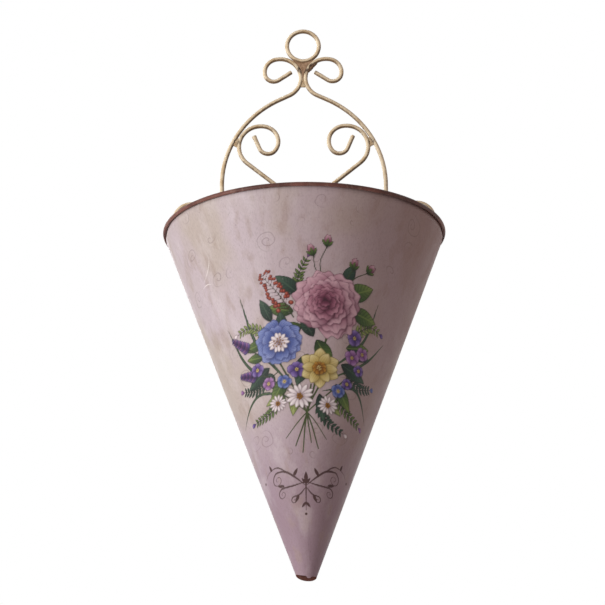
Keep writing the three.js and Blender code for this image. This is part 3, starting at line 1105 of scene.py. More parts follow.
@dataclass(frozen=True)
class Blade:
    """The outline of a petal or leaf: where it is widest, how pointed, how ruffled and notched."""

    fullness: float = 1.5  # over 1 it is widest past the middle
    point: float = 0.55  # 0.5 is an oval, and 1 is pointed at both ends
    ruffle: float = 0.0
    notch: float = 0.0
    veins: int = 7
    vein_share: float = 0.22
    midrib: float = 0.0

    def half_width(self, share: np.ndarray) -> np.ndarray:
        """Half the width of the blade at a place along it.

        Args:
            share: Share of the way from foot to tip.

        Returns:
            0 to 1, and below 0 outside.
        """
        inside = np.clip(share, 1e-6, 1 - 1e-6)
        half = np.sin(math.pi * inside**self.fullness) ** self.point
        return np.where((share > 0) & (share < 1), half, -np.abs(share - inside) * 4)


class Painter:
    """Paints a bouquet of this object's own: it lays petals, leaves, stems and berries on a canvas."""

    EDGE = 0.34  # millimetres over which an ink's edge fades
    LIGHT = (-0.55, 0.83)  # the painted light comes from the upper left
    SHADOW = (0.5, -0.7)  # millimetres right and up from a petal to its painted shadow
    OUTLINE = 0.38  # millimetres that the line along a petal's edge is wide
    RIB = 0.35  # millimetres that a leaf's middle rib is wide
    MARGIN = 2.0  # millimetres round a petal in which its ruffles and shadow keep
    PALE_TIP = 0.85  # how far a petal's tip goes over to the colour of its edge
    LIT = 0.35  # how far its lit side does
    SHADED = 0.4  # how far its other side goes over to the colour of its foot

    def __init__(self, canvas: Canvas, seed: int = 7) -> None:
        """Takes up a canvas."""
        self.canvas = canvas
        self.random = np.random.default_rng(seed)

    def petal(self, u: float, v: float, angle: float, length: float, width: float, tones: Tones,
              blade: Blade = Blade(), shadow: float = 0.28) -> None:
        """Lays one petal or leaf.

        Args:
            u: Place of its foot.
            v: Place of its foot.
            angle: Degrees from the right, towards up.
            length: From foot to tip.
            width: At the widest.
            tones: Its inks.
            blade: Its outline.
            shadow: How dark its shadow on what lies under it is.
        """
        canvas = self.canvas
        axis = np.array([math.cos(math.radians(angle)), math.sin(math.radians(angle))])
        reach = math.hypot(length / 2, width / 2) + self.MARGIN
        block = canvas.near(u + axis[0] * length / 2, v + axis[1] * length / 2, reach)
        right, up = canvas.u[block] - u, canvas.v[block] - v
        phase = self.random.uniform(0, 2 * math.pi)

        def inside(right: np.ndarray, up: np.ndarray) -> tuple[np.ndarray, np.ndarray, np.ndarray]:
            """Where points lie in the blade.

            Args:
                right: From its foot.
                up: From its foot.

            Returns:
                Share of the length, share of the half width, and millimetres inside the outline.
            """
            share = (right * axis[0] + up * axis[1]) / length
            side = (up * axis[0] - right * axis[1]) / (width / 2)
            wave = blade.ruffle * np.sin(side * 8 + phase) - blade.notch * np.exp(-((side / 0.3) ** 2))
            share_out = share * (1 - wave)
            half = blade.half_width(share_out)
            slope = (blade.half_width(share_out + 0.01) - blade.half_width(share_out - 0.01)) / 0.02
            steep = np.sqrt(1 + np.minimum(np.abs(slope), 30) ** 2 * (width / 2 / length) ** 2)
            return share, side / np.maximum(half, 0.05), (half - np.abs(side)) * width / 2 / steep

        *_, under = inside(right - self.SHADOW[0], up - self.SHADOW[1])
        canvas.lay(block, shadow * smooth(under, -1.1, 0.6), srgb(tones.line) * 0.7)
        share, side, depth = inside(right, up)
        foot, body, edge, line = map(srgb, (tones.foot, tones.body, tones.edge, tones.line))
        colour = blend(foot * np.ones((*share.shape, 3)), body, smooth(share, 0.0, 0.55))
        colour = blend(colour, edge, smooth(share, 0.45, 1.0) * self.PALE_TIP)
        lit = side * (-axis[1] * self.LIGHT[0] + axis[0] * self.LIGHT[1])
        colour = blend(colour, edge, np.clip(lit, 0, 1) * self.LIT)
        colour = blend(colour, foot, np.clip(-lit, 0, 1) * self.SHADED)
        veins = np.abs(np.sin(side * blade.veins * math.pi / 2 + phase * 0.2)) ** 6
        colour = blend(colour, line, veins * blade.vein_share * (1 - 0.6 * np.clip(share, 0, 1)))
        if blade.midrib:
            rib = np.exp(-((side * width / 2 / self.RIB) ** 2))
            colour = blend(colour, edge, rib * blade.midrib)
            ribs = np.abs(np.sin((share * 9 - np.abs(side) * 1.6) * math.pi)) ** 8
            colour = blend(colour, line, ribs * 0.35 * smooth(np.abs(side), 0.05, 0.3))
        colour = blend(colour, line, np.exp(-((depth / self.OUTLINE) ** 2)) * 0.6)
        canvas.lay(block, np.clip(depth / self.EDGE + 0.5, 0, 1), colour)

    def stroke(self, points: Line, widths: Sequence[float], colour: str, strength: float = 1.0) -> None:
        """Lays one pen or brush stroke along a smooth curve.

        Args:
            points: Points that the curve passes.
            widths: Its widths, spread evenly from start to end.
            colour: Its ink.
            strength: How well it covers.
        """
        path = through(points, 0.3)
        wide = np.interp(np.linspace(0, 1, len(path)), np.linspace(0, 1, len(widths)), widths)
        canvas = self.canvas
        middle = (path.min(0) + path.max(0)) / 2
        reach = (path.max(0) - path.min(0)).max() / 2 + max(widths) + 1
        rows, columns = canvas.near(middle[0], middle[1], reach)
        mask = np.zeros(canvas.cover.shape)
        for (u, v), width in zip(path, wide):
            block = canvas.near(u, v, width / 2 + 0.6)
            away = np.hypot(canvas.u[block] - u, canvas.v[block] - v)
            mask[block] = np.maximum(mask[block], np.clip((width / 2 - away) / self.EDGE + 0.5, 0, 1))
        canvas.lay((rows, columns), mask[rows, columns] * strength, srgb(colour))

    def berry(self, u: float, v: float, radius: float, tones: Tones) -> None:
        """Lays one round berry or bead with a dark rim and a lit spot.

        Args:
            u: Its middle.
            v: Its middle.
            radius: Its radius.
            tones: Its inks.
        """
        block = self.canvas.near(u, v, radius + 1)
        right, up = self.canvas.u[block] - u, self.canvas.v[block] - v
        away = np.hypot(right, up)
        lit = np.exp(-(np.hypot(right + radius * 0.3, up - radius * 0.35) / (radius * 0.5)) ** 2)
        colour = srgb(tones.body) * np.ones((*away.shape, 3))
        colour = blend(colour, srgb(tones.foot), smooth(away, 0.3 * radius, radius))
        colour = blend(colour, srgb(tones.edge), lit * 0.8)
        self.canvas.lay(block, np.clip((radius - away) / self.EDGE + 0.5, 0, 1), colour)

    def whorl(self, u: float, v: float, count: int, length: float, width: float, tones: Tones, blade: Blade,
              turn: float = 0.0, loose: float = 6.0, squash: float = 1.0) -> None:
        """Lays a ring of petals round a middle.

        Args:
            u: The middle.
            v: The middle.
            count: How many petals.
            length: Length of each.
            width: Width of each.
            tones: Their inks.
            blade: Their outline.
            turn: Degrees from the right to the first.
            loose: How far they stray, in degrees.
            squash: Height of the ring over its width, for a flower seen aslant.
        """
        order = np.argsort([math.sin(math.radians(turn + 360 * k / count)) for k in range(count)])[::-1]
        for k in order:
            angle = turn + 360 * k / count + self.random.uniform(-loose, loose)
            right, up = math.cos(math.radians(angle)), math.sin(math.radians(angle)) * squash
            lean, short = math.degrees(math.atan2(up, right)), math.hypot(right, up)
            size = short * self.random.uniform(0.93, 1.07)
            self.petal(u, v, lean, length * size, width * self.random.uniform(0.92, 1.08), tones, blade)


def through(points: Line, step: float) -> np.ndarray:
    """A smooth curve that passes the given points.

    Args:
        points: The points.
        step: About how far apart the curve's own points are.

    Returns:
        Points of the curve.
    """
    knots = np.array(points, float)
    ends = np.concatenate([[2 * knots[0] - knots[1]], knots, [2 * knots[-1] - knots[-2]]])
    pieces = []
    for before, start, end, after in zip(ends, ends[1:], ends[2:], ends[3:]):
        count = max(2, math.ceil(float(np.hypot(*(end - start))) / step))
        t = np.linspace(0, 1, count, endpoint=False)[:, None]
        pull, push = (end - before) / 2, (after - start) / 2
        pieces.append(
            (2 * t**3 - 3 * t**2 + 1) * start
            + (t**3 - 2 * t**2 + t) * pull
            + (3 * t**2 - 2 * t**3) * end
            + (t**3 - t**2) * push
        )
    return np.concatenate([*pieces, knots[-1:]])


class Bouquet:
    """The design: a full pink bloom, a blue one and a yellow one among small flowers, leaves and
    berries, their stems gathered below, and a pen flourish under them."""

    LEAF = Blade(fullness=0.85, point=0.9, midrib=0.7, vein_share=0.0)
    ROUND = Blade(fullness=1.7, point=0.5, ruffle=0.03, veins=5, vein_share=0.16)
    CUP = Blade(fullness=1.45, point=0.42, ruffle=0.055, veins=5, vein_share=0.2)
    NOTCHED = Blade(fullness=1.9, point=0.55, ruffle=0.035, notch=0.09, veins=11, vein_share=0.6)
    STAR = Blade(fullness=1.15, point=0.75, veins=5, vein_share=0.25)
    LEAF_PEN = Blade(fullness=0.8, point=0.8, veins=0, vein_share=0.0)
    SLIM = Blade(fullness=1.3, point=0.6, veins=1, vein_share=0.2)

    def __init__(self, canvas: Canvas) -> None:
        """Takes up a canvas."""
        self.painter = Painter(canvas)

    def paint(self) -> None:
        """Lays the whole design, from back to front."""
        self.stems()
        self.grasses()
        self.sprigs()
        self.foliage()
        self.buds(30, 38, 58)
        self.buds(12, 46, 96)
        self.berries()
        self.lavender(-34, -6, 148, 30)
        self.lavender(-28, -22, 168, 26)
        self.small_flowers()
        self.yellow_bloom(10, -18, 15)
        self.blue_bloom(-19, 1, 18.5)
        self.peony(17, 28, 25)
        self.white_flowers()
        self.flourish()
        self.crease_highlights_and_stain()

    def stems(self) -> None:
        """Stems that cross where the bouquet is held and spread again below."""
        painter, tie = self.painter, (1.0, -49.0)
        for top, foot, width in (
            ((17, 10), (-7, -73), 1.5),
            ((-19, -12), (9, -75), 1.4),
            ((10, -30), (-2, -78), 1.3),
            ((-30, -26), (15, -68), 1.1),
            ((32, -22), (-14, -67), 1.1),
            ((4, -30), (4, -71), 1.2),
        ):
            middle = (tie[0] + (top[0] + foot[0]) * 0.03, tie[1])
            painter.stroke([top, middle, foot], [width, width * 0.9, width * 0.55], Palette.STEM)
            painter.stroke([top, middle, foot], [0.3, 0.3, 0.2], Palette.PALE_LEAF.body, 0.7)

    def grasses(self) -> None:
        """Long blades that arch out on both sides."""
        for points, width in (
            ([(-10, -30), (-36, 2), (-50, 38)], 2.8),
            ([(-12, -34), (-44, -12), (-63, 18)], 2.4),
            ([(-10, -38), (-36, -34), (-56, -52)], 2.2),
            ([(12, -34), (38, -30), (52, -50)], 2.4),
            ([(16, -20), (44, 4), (58, 34)], 2.2),
            ([(16, -26), (46, -10), (66, 8)], 1.9),
        ):
            self.painter.stroke(points, [0.5, width, width * 0.8, 0.3], Palette.DARK_LEAF.body)
            self.painter.stroke(points, [0.2, 0.5, 0.4, 0.2], Palette.LEAF.edge, 0.6)

    def foliage(self) -> None:
        """Leaves behind the flowers."""
        dark, leaf, pale = Palette.DARK_LEAF, Palette.LEAF, Palette.PALE_LEAF
        for u, v, angle, length, width, tones in (
            (30, 34, 22, 24, 13, leaf),
            (34, 24, -12, 22, 12, leaf),
            (28, 42, 60, 18, 9, dark),
            (-4, 34, 140, 22, 11, dark),
            (-8, 22, 168, 20, 10, leaf),
            (-24, 16, 118, 19, 8, dark),
            (-30, 2, 190, 17, 8, leaf),
            (-26, -16, 214, 22, 9, dark),
            (-12, -22, 236, 24, 10, leaf),
            (-6, -30, 262, 22, 9, pale),
            (22, -28, -58, 22, 9, leaf),
            (26, -14, -24, 23, 10, dark),
            (30, -2, 6, 20, 9, leaf),
            (10, -36, -82, 20, 8, dark),
            (2, -8, 250, 24, 12, dark),
            (8, 2, -60, 22, 12, leaf),
            (-2, 12, 200, 20, 11, leaf),
            (14, -40, -40, 16, 6, pale),
            (-16, 6, 96, 17, 9, dark),
            (6, 4, 120, 18, 9, dark),
            (-30, -8, 178, 15, 7, leaf),
            (34, -4, -10, 17, 8, dark),
            (-16, -36, 205, 15, 6, pale),
        ):
            self.painter.petal(u, v, angle, length, width, tones, self.LEAF)

    def sprigs(self) -> None:
        """Thin twigs with pairs of small leaves and a bud at the tip, all round the bouquet."""
        painter = self.painter
        for line, tones, bud in (
            ([(-20, -20), (-36, -30), (-50, -28)], Palette.DARK_LEAF, Palette.MAUVE),
            ([(-14, -34), (-26, -48), (-40, -52)], Palette.LEAF, Palette.VIOLET),
            ([(-24, 4), (-40, 14), (-52, 12)], Palette.PALE_LEAF, Palette.WHITE),
            ([(28, -20), (42, -28), (54, -26)], Palette.DARK_LEAF, Palette.BLUE),
            ([(20, -36), (32, -48), (44, -54)], Palette.LEAF, Palette.MAUVE),
            ([(36, 8), (50, 16), (60, 14)], Palette.PALE_LEAF, Palette.VIOLET),
            ([(-6, 30), (-4, 48), (2, 60)], Palette.LEAF, Palette.MAUVE),
            ([(8, -42), (16, -56), (28, -62)], Palette.DARK_LEAF, Palette.WHITE),
        ):
            painter.stroke(line, [0.8, 0.6, 0.5], Palette.STEM)
            path = through(line, 3.4)
            for k, ((u, v), (to_u, to_v)) in enumerate(zip(path[1:], path[2:])):
                along = math.degrees(math.atan2(to_v - v, to_u - u))
                size = 6.4 * (1 - 0.45 * k / len(path))
                for side in (-1, 1):
                    painter.petal(u, v, along + side * 48, size, size * 0.42, tones, self.LEAF, shadow=0.12)
            painter.petal(*path[-1], along, 4.6, 3.2, bud, self.ROUND, shadow=0.12)

    def buds(self, u: float, v: float, angle: float) -> None:
        """A pair of closed buds on thin stalks.

        Args:
            u: Foot of both.
            v: Foot of both.
            angle: Degrees from the right.
        """
        for turn, length in ((-16, 22), (14, 16)):
            lean = math.radians(angle + turn)
            tip = (u + length * math.cos(lean), v + length * math.sin(lean))
            bent = (u + length * 0.5 * math.cos(lean + 0.25), v + length * 0.5 * math.sin(lean + 0.25))
            self.painter.stroke([(u, v), bent, tip], [0.9, 0.7, 0.7], Palette.STEM)
            self.painter.petal(*tip, angle + turn, 9, 5.4, Palette.PEONY_OUTER, self.CUP)
            for side in (-38, 0, 38):
                self.painter.petal(*tip, angle + turn + side, 6.4, 2.2, Palette.LEAF, self.STAR, shadow=0.2)

    def berries(self) -> None:
        """A spray of red berries on the upper left."""
        painter = self.painter
        painter.stroke([(-8, 18), (-18, 34), (-30, 48)], [0.9, 0.7, 0.4], Palette.STEM)
        for step in range(11):
            share = step / 10
            u, v = -12 - 18 * share, 24 + 25 * share
            for side in (-1, 1):
                reach = 7.2 - 3.8 * share + painter.random.uniform(-1, 1)
                lean = math.radians(126 + side * 58 + painter.random.uniform(-10, 10))
                tip = (u + reach * math.cos(lean), v + reach * math.sin(lean))
                painter.stroke([(u, v), tip], [0.5, 0.4], Palette.BERRY.line)
                for _ in range(2):
                    spread = painter.random.uniform(-1.5, 1.5, 2)
                    painter.berry(tip[0] + spread[0], tip[1] + spread[1], 1.55 - 0.5 * share, Palette.BERRY)

    def lavender(self, u: float, v: float, angle: float, length: float) -> None:
        """A flower spike of small mauve buds.

        Args:
            u: Its foot.
            v: Its foot.
            angle: Degrees from the right.
            length: Its length.
        """
        lean = math.radians(angle)
        axis = np.array([math.cos(lean), math.sin(lean)])
        start, tip = np.array([u, v]), np.array([u, v]) + axis * length
        self.painter.stroke([(u + 12, v - 10), tuple(start), tuple(tip)], [0.9, 0.7, 0.4], Palette.STEM)
        for step in range(9):
            place = start + axis * length * (0.35 + 0.07 * step)
            for side in (-50, 50, 0):
                size = 5.4 - 0.35 * step
                tones = Palette.MAUVE if (step + side) % 2 else Palette.VIOLET
                self.painter.petal(*place, angle + side, size, size * 0.5, tones, self.SLIM, shadow=0.25)

    def five_petals(self, u: float, v: float, size: float, tones: Tones, turn: float) -> None:
        """A small open flower with five petals and a yellow eye.

        Args:
            u: Its middle.
            v: Its middle.
            size: A petal's length.
            tones: Its inks.
            turn: Degrees to the first petal.
        """
        self.painter.whorl(u, v, 5, size, size * 0.95, tones, self.ROUND, turn, squash=0.85)
        for k in range(5):
            lean = math.radians(turn + 72 * k)
            self.painter.berry(u + 0.8 * math.cos(lean), v + 0.8 * math.sin(lean), 0.6, Palette.YELLOW)

    def small_flowers(self) -> None:
        """Violet, mauve and blue flowers tucked in on both sides and below."""
        for u, v, size, tones, turn in (
            (37, 6, 6.4, Palette.VIOLET, 20),
            (44, -4, 5.4, Palette.MAUVE, 50),
            (35, -8, 6.0, Palette.MAUVE, 5),
            (41, -16, 4.6, Palette.VIOLET, 33),
            (-36, -16, 5.4, Palette.VIOLET, 10),
            (-27, -27, 5.0, Palette.MAUVE, 44),
            (24, -33, 5.4, Palette.BLUE, 12),
            (31, -27, 4.6, Palette.VIOLET, 60),
            (-6, -19, 6.6, Palette.VIOLET, 30),
            (-15, -27, 5.6, Palette.BLUE, 0),
        ):
            self.five_petals(u, v, size, tones, turn)

    def yellow_bloom(self, u: float, v: float, radius: float) -> None:
        """A yellow flower with pointed petals round an amber cup.

        Args:
            u: Its middle.
            v: Its middle.
            radius: Its radius.
        """
        painter = self.painter
        painter.whorl(u, v, 6, radius, radius * 0.62, Palette.YELLOW, self.STAR, 30, squash=0.9)
        painter.whorl(u, v, 6, radius * 0.86, radius * 0.5, Palette.YELLOW, self.STAR, 0, squash=0.9)
        painter.whorl(u, v, 9, radius * 0.36, radius * 0.26, Palette.AMBER, self.ROUND, 10, squash=0.9)
        for k in range(7):
            lean, reach = k * GOLDEN_ANGLE, 1.3 if k else 0.0
            painter.berry(u + reach * math.cos(lean), v + reach * math.sin(lean), 0.6, Palette.YELLOW)

    def blue_bloom(self, u: float, v: float, radius: float) -> None:
        """A blue flower: broad notched petals with dark veins, a pale throat and dark stamens.

        Args:
            u: Its middle.
            v: Its middle.
            radius: Its radius.
        """
        for count, reach, width, tones, blade, turn, loose in (
            (7, 1.00, 0.86, Palette.BLUE, self.NOTCHED, 12, 9),
            (6, 0.76, 0.62, Palette.BLUE, self.NOTCHED, 40, 9),
            (13, 0.42, 0.17, Palette.WHITE, self.SLIM, 0, 8),
        ):
            long, wide = radius * reach, radius * width
            self.painter.whorl(u, v, count, long, wide, tones, blade, turn, loose=loose, squash=0.92)
        self.stamens(u, v, 14, (1.178, 1.054), 0.55)

    def stamens(self, u: float, v: float, count: int, apart: tuple[float, float], radius: float) -> None:
        """Amber stamens, spread from the middle as seeds are.

        Args:
            u: Its middle.
            v: Its middle.
            count: How many.
            apart: How widely they spread to the right and up.
            radius: Radius of each.
        """
        for k in range(count):
            lean, away = k * GOLDEN_ANGLE, math.sqrt(k + 0.5)
            right, up = apart[0] * away * math.cos(lean), apart[1] * away * math.sin(lean)
            self.painter.berry(u + right, v + up, radius, Palette.AMBER)

    def peony(self, u: float, v: float, radius: float) -> None:
        """A full pink bloom of whorl in whorl, the innermost the darkest.

        Args:
            u: Its middle.
            v: Its middle.
            radius: Its radius.
        """
        painter = self.painter
        rings = (
            (7, 1.00, 0.92, Palette.PEONY_OUTER, 8),
            (7, 0.84, 0.84, Palette.PEONY_OUTER, 34),
            (6, 0.69, 0.74, Palette.PEONY_OUTER, 2),
            (6, 0.55, 0.60, Palette.PEONY_MIDDLE, 31),
            (5, 0.42, 0.48, Palette.PEONY_MIDDLE, 12),
            (5, 0.31, 0.36, Palette.PEONY_HEART, 40),
            (4, 0.20, 0.25, Palette.PEONY_HEART, 20),
        )
        for depth, (count, reach, width, tones, turn) in enumerate(rings):
            lift = 0.018 * depth * radius
            long, wide = radius * reach, radius * width
            painter.whorl(u - lift, v + lift, count, long, wide, tones, self.CUP, turn, loose=14, squash=0.94)

    def white_flowers(self) -> None:
        """White flowers with slim rays and brown middles, low in the bouquet."""
        for u, v, size, turn in ((-4, -38, 10, 5), (16, -44, 7.4, 20), (-20, -42, 6.6, 0)):
            white, apart = Palette.WHITE, 0.055 * size
            self.painter.whorl(u, v, 13, size, size * 0.34, white, self.SLIM, turn, loose=3, squash=0.9)
            self.stamens(u, v, 16, (apart, apart), 0.62)

    @staticmethod
    def volute(middle: tuple[float, float], radius: float, start: float, turns: float) -> Line:
        """A line that winds inwards.

        Args:
            middle: Its middle.
            radius: Where it starts.
            start: Degrees where it starts.
            turns: Windings, below 0 for clockwise.

        Returns:
            Its points.
        """
        points = []
        for share in np.linspace(0, 1, max(6, round(abs(turns) * 12))):
            angle = math.radians(start + 360 * turns * share)
            reach = radius * (1 - 0.86 * share**0.8)
            points.append((middle[0] + reach * math.cos(angle), middle[1] + reach * math.sin(angle)))
        return points

    def flourish(self) -> None:
        """Pen scrolls and leaves under the bouquet, mirrored about the middle."""
        ink = Tones(Palette.INK, Palette.INK, Palette.INK, Palette.INK)
        for side in (1, -1):
            scrolls = (
                ([(0.6, -101), (8, -95), (15, -90.6), *self.volute((21.5, -95.5), 5.4, 84, -1.5)], 1.5),
                ([(1, -99), (9, -101), *self.volute((17.5, -106.0), 4.2, 96, -1.4)], 1.3),
                ([(0.5, -103), (4.5, -107.5), *self.volute((8.2, -111.5), 2.7, 70, -1.2)], 1.1),
                ([(14, -90.8), (22, -86.5), (30, -88.5), (34, -92)], 1.0),
            )
            for line, width in scrolls:
                points = [(side * u, v) for u, v in line]
                self.painter.stroke(points, [0.5, width, width, 0.7, 0.5, 0.4], Palette.INK, 0.9)
            for u, v, angle, length in (
                (9, -94.5, 118, 6.5), (16, -100.5, 10, 6.0), (27, -88, 62, 5.0), (5, -108, -62, 6.0)
            ):
                lean = angle if side > 0 else 180 - angle
                self.painter.petal(side * u, v, lean, length, length * 0.36, ink, self.LEAF_PEN, shadow=0.0)
            self.painter.berry(side * 36.2, -94.2, 0.9, ink)
        self.painter.stroke([(0, -98), (0, -108), (0, -119)], [1.1, 0.9, 0.4], Palette.INK, 0.9)
        for v, angle, length in ((-99, 90, 7.5), (-100, 52, 5.0), (-113, -52, 5.0)):
            for lean in (angle, 180 - angle):
                self.painter.petal(0, v, lean, length, length * 0.36, ink, self.LEAF_PEN, shadow=0.0)
        self.painter.berry(0, -121.5, 0.9, ink)

    def crease_highlights_and_stain(self) -> None:
        """Pale lines on the left for creases in the varnish, partly scratches and partly a painted highlight
        along each crease, and a thin stain that ran down the middle.
        """
        # painted highlight: the pale lines stand partly for scratched varnish and partly for light caught
        # along the creases
        for line, widths, colour, strength in (
            ([(-79, 74), (-78, 68), (-82, 61), (-88, 56)], [0.3, 0.9, 0.7, 0.3], "#efe8e5", 0.75),
            ([(-91, 53), (-83, 54.6), (-75, 53)], [0.3, 0.9, 0.3], "#efe8e5", 0.7),
            ([(-70, 84), (-67, 80), (-66, 74)], [0.3, 0.6, 0.3], "#efe8e5", 0.5),
            ([(2.4, -128), (2.0, -138), (2.6, -154)], [1.0, 2.6, 1.6], "#7f6872", 0.28),
        ):
            self.painter.stroke(line, widths, colour, strength)


# ---------- Pocket ----------


@dataclass
class Pocket:
    """The tin pocket: the round printed front, the flat back, and the hoop in their rolled edges."""

    fit: float = 0.3
    rim_width: float = 200.0
    back_setback: float = 30.0
    height: float = 248.0
    tip_width: float = 15.0
    tip_pitch: float = 20.0
    tip_slant: float = 7.0
    tongue_drop: float = 3.8
    sheet: float = 0.5
    rim_wire: float = 1.9
    rim_proud: float = 0.8
    rim_neck: float = 4.0
    hoop_bend: float = 7.0
    roll_start: float = 210.0
    roll_end: float = -60.0
    flange: float = 6.0
    flange_share: float = 0.6
    arc_cells: int = 136  # round the rim, at the coarse net
    side_cells: int = 2  # from the roll's end to the corner
    rows: int = 166
    fine: int = 3  # fine cells in a coarse one, where the print is
    roll_step: float = 12.0
    bouquet_drop: float = 112.0  # from the rim down to the middle of the bouquet, along the front
    faint: float = 0.02  # print that covers less than this needs no fine cells
    tongue_points: int = 25  # along the round end of the back
    lip_drop: float = 1.3  # a bent flap of the cut end
    lip_width: float = 1.7
    lip_place: float = 1.6

    @property
    def channel(self) -> float:
        """Radius of the inside of a rolled edge."""
        return self.rim_wire / 2 + self.fit

    @property
    def bead(self) -> float:
        """Radius of the outside of a rolled edge."""
        return self.channel + self.sheet

    @property
    def bead_centre(self) -> float:
        """Plan radius of the hoop."""
        return self.rim_width / 2 - self.bead

    @property
    def cone_radius(self) -> float:
        """Plan radius of the cone's outside at the hoop's level."""
        return self.rim_width / 2 - self.rim_proud

    @property
    def seam(self) -> float:
        """Where the rear of the front's side flanges lies, just before the back."""
        return -self.sheet - self.fit

    @property
    def apex_drop(self) -> float:
        """How far under the rim all lines of the wall would meet."""
        return self.height / (1 - self.tip_width / 2 / self.cone_radius)

    @property
    def apex(self) -> np.ndarray:
        """Where all lines of the wall would meet."""
        return np.array([0.0, self.seam, -self.apex_drop])

    @property
    def neck_share(self) -> float:
        """Share of the way to the apex at which the wall turns into the roll."""
        return self.rim_neck / self.apex_drop

    @property
    def corner_angle(self) -> float:
        """Angle from the front to the wall's corner with its flange."""
        return math.acos((-self.back_setback - self.seam) / self.cone_radius)

    @property
    def hoop_corner(self) -> tuple[float, float]:
        """The right-hand back corner of the hoop.

        Returns:
            Its middle, across and out.
        """
        level = -self.bead - self.hoop_bend
        reach = self.bead_centre - self.hoop_bend
        return math.sqrt(reach**2 - (level + self.back_setback) ** 2), level

    @property
    def roll_angle(self) -> float:
        """Angle from the front to the end of the front's rolled edge."""
        across, level = self.hoop_corner
        return math.pi / 2 + math.atan2(level + self.back_setback, across)

    def ring_point(
        self, angle: np.ndarray, radius: np.ndarray | float, height: np.ndarray | float
    ) -> np.ndarray:
        """Points round the middle of the rim.

        Args:
            angle: From the front.
            radius: In plan.
            height: Over the rim.

        Returns:
            The points.
        """
        angle, radius, height = np.broadcast_arrays(angle, radius, height)
        flat = [radius * np.sin(angle), -self.back_setback - radius * np.cos(angle), height]
        return np.stack(flat, axis=-1)

    def wall(self, angle: np.ndarray, share: np.ndarray | float) -> np.ndarray:
        """Points of the wall's outside.

        Args:
            angle: From the front.
            share: Of the way from the rim's level to the apex.

        Returns:
            The points.
        """
        angle, share = np.broadcast_arrays(angle, share)
        rim = self.ring_point(angle, self.cone_radius, 0.0)
        return rim + (self.apex - rim) * share[..., None]

    def normal(self, angle: np.ndarray) -> np.ndarray:
        """The wall's outward direction.

        Args:
            angle: From the front.

        Returns:
            Unit vectors.
        """
        round_rim = np.stack([np.cos(angle), np.sin(angle), np.zeros_like(angle)], axis=-1)
        across = np.cross(self.apex - self.ring_point(angle, self.cone_radius, 0.0), round_rim)
        return across / np.linalg.norm(across, axis=-1, keepdims=True)

    def cut_share(self, angle: np.ndarray) -> np.ndarray:
        """Where the slanting end cuts the wall.

        Args:
            angle: From the front.

        Returns:
            Share of the way to the apex.
        """
        fall, slant = math.tan(math.radians(self.tip_pitch)), math.tan(math.radians(self.tip_slant))
        rim = self.ring_point(angle, self.cone_radius, 0.0)
        widest = self.seam + (-self.back_setback - self.seam) * (1 - self.height / self.apex_drop)
        lean = fall * (rim[..., 1] - self.seam) - slant * rim[..., 0]
        return (self.height - fall * (self.seam - widest) - lean) / (self.apex_drop - lean)

    @cached_property
    def angles(self) -> np.ndarray:
        """Angles of the coarse net's columns.

        Returns:
            The angles, with one at each end of the rolled edge.
        """
        side = np.linspace(self.roll_angle, self.corner_angle, self.side_cells + 1)[1:]
        arc = np.linspace(-self.roll_angle, self.roll_angle, self.arc_cells + 1)
        return np.concatenate([-side[::-1], arc, side])

    def shares(self, angle: np.ndarray, steps: np.ndarray) -> np.ndarray:
        """The net's points along each column, from the cut end up to the neck.

        Args:
            angle: The columns' angles.
            steps: 0 to 1, from end to neck.

        Returns:
            Shares of the way to the apex, row by column.
        """
        cut = self.cut_share(angle)
        across = self.wall(angle, cut)[..., 0]
        lip = self.lip_drop * np.exp(-(((across - self.lip_place) / self.lip_width) ** 4))
        lip *= np.cos(angle) > 0
        cut = cut + lip / self.apex_drop
        return cut[None] + (self.neck_share - cut[None]) * steps[:, None]

    def printed_wall(self, work: Patchwork) -> None:
        """Adds the wall's outside, with fine cells wherever the print has colour.

        Args:
            work: Where the faces are added.
        """
        columns, rows, fine = len(self.angles) - 1, self.rows, self.fine
        angle = np.interp(np.arange(columns * fine + 1) / fine, np.arange(columns + 1), self.angles)
        steps = np.linspace(0, 1, rows * fine + 1)
        share = self.shares(angle, steps)
        points = self.wall(np.broadcast_to(angle, share.shape), share)
        radius = self.cone_radius * (1 - share)
        front = math.hypot(self.apex_drop, self.cone_radius + self.back_setback + self.seam)
        canvas = Canvas(radius * angle[None], self.bouquet_drop - share * front)
        Bouquet(canvas).paint()
        paints = canvas.paints()

        inked = np.zeros((rows, columns), bool)
        for down in range(fine + 1):
            for right in range(fine + 1):
                inked |= canvas.cover[down::fine, right::fine][:rows, :columns] > self.faint
        faces = self.cells(inked, fine)
        used = np.unique([corner for face in faces for corner in face])
        number = np.zeros(canvas.cover.size, int)
        number[used] = np.arange(len(used))
        work.add(
            points.reshape(-1, 3)[used],
            [[number[corner] for corner in face] for face in faces],
            0,
            paints.reshape(-1, 4)[used],
        )

    def cells(self, inked: np.ndarray, fine: int) -> list[list[int]]:
        """Faces over the net: small ones where there is ink, and large ones elsewhere, which
        take in the points of small neighbours.

        Args:
            inked: Which coarse cells have ink.
            fine: Small cells along a coarse one.

        Returns:
            The numbers of each face's points.
        """
        rows, columns = inked.shape
        wide = columns * fine + 1
        lined = np.pad(inked, 1)

        def at(row: int, column: int) -> int:
            """Number of a point of the net."""
            return row * wide + column

        faces = []
        for row in range(rows):
            for column in range(columns):
                low, left = row * fine, column * fine
                if inked[row, column]:
                    faces += [
                        [at(r, c), at(r, c + 1), at(r + 1, c + 1), at(r + 1, c)]
                        for r in range(low, low + fine)
                        for c in range(left, left + fine)
                    ]
                    continue
                sides = (
                    (lined[row, column + 1], low, left, 0, 1),
                    (lined[row + 1, column + 2], low, left + fine, 1, 0),
                    (lined[row + 2, column + 1], low + fine, left + fine, 0, -1),
                    (lined[row + 1, column], low + fine, left, -1, 0),
                )
                loop = [
                    at(r + up * k, c + right * k)
                    for shared, r, c, up, right in sides
                    for k in range(fine if shared else 1)
                ]
                faces.append(loop)
        return faces

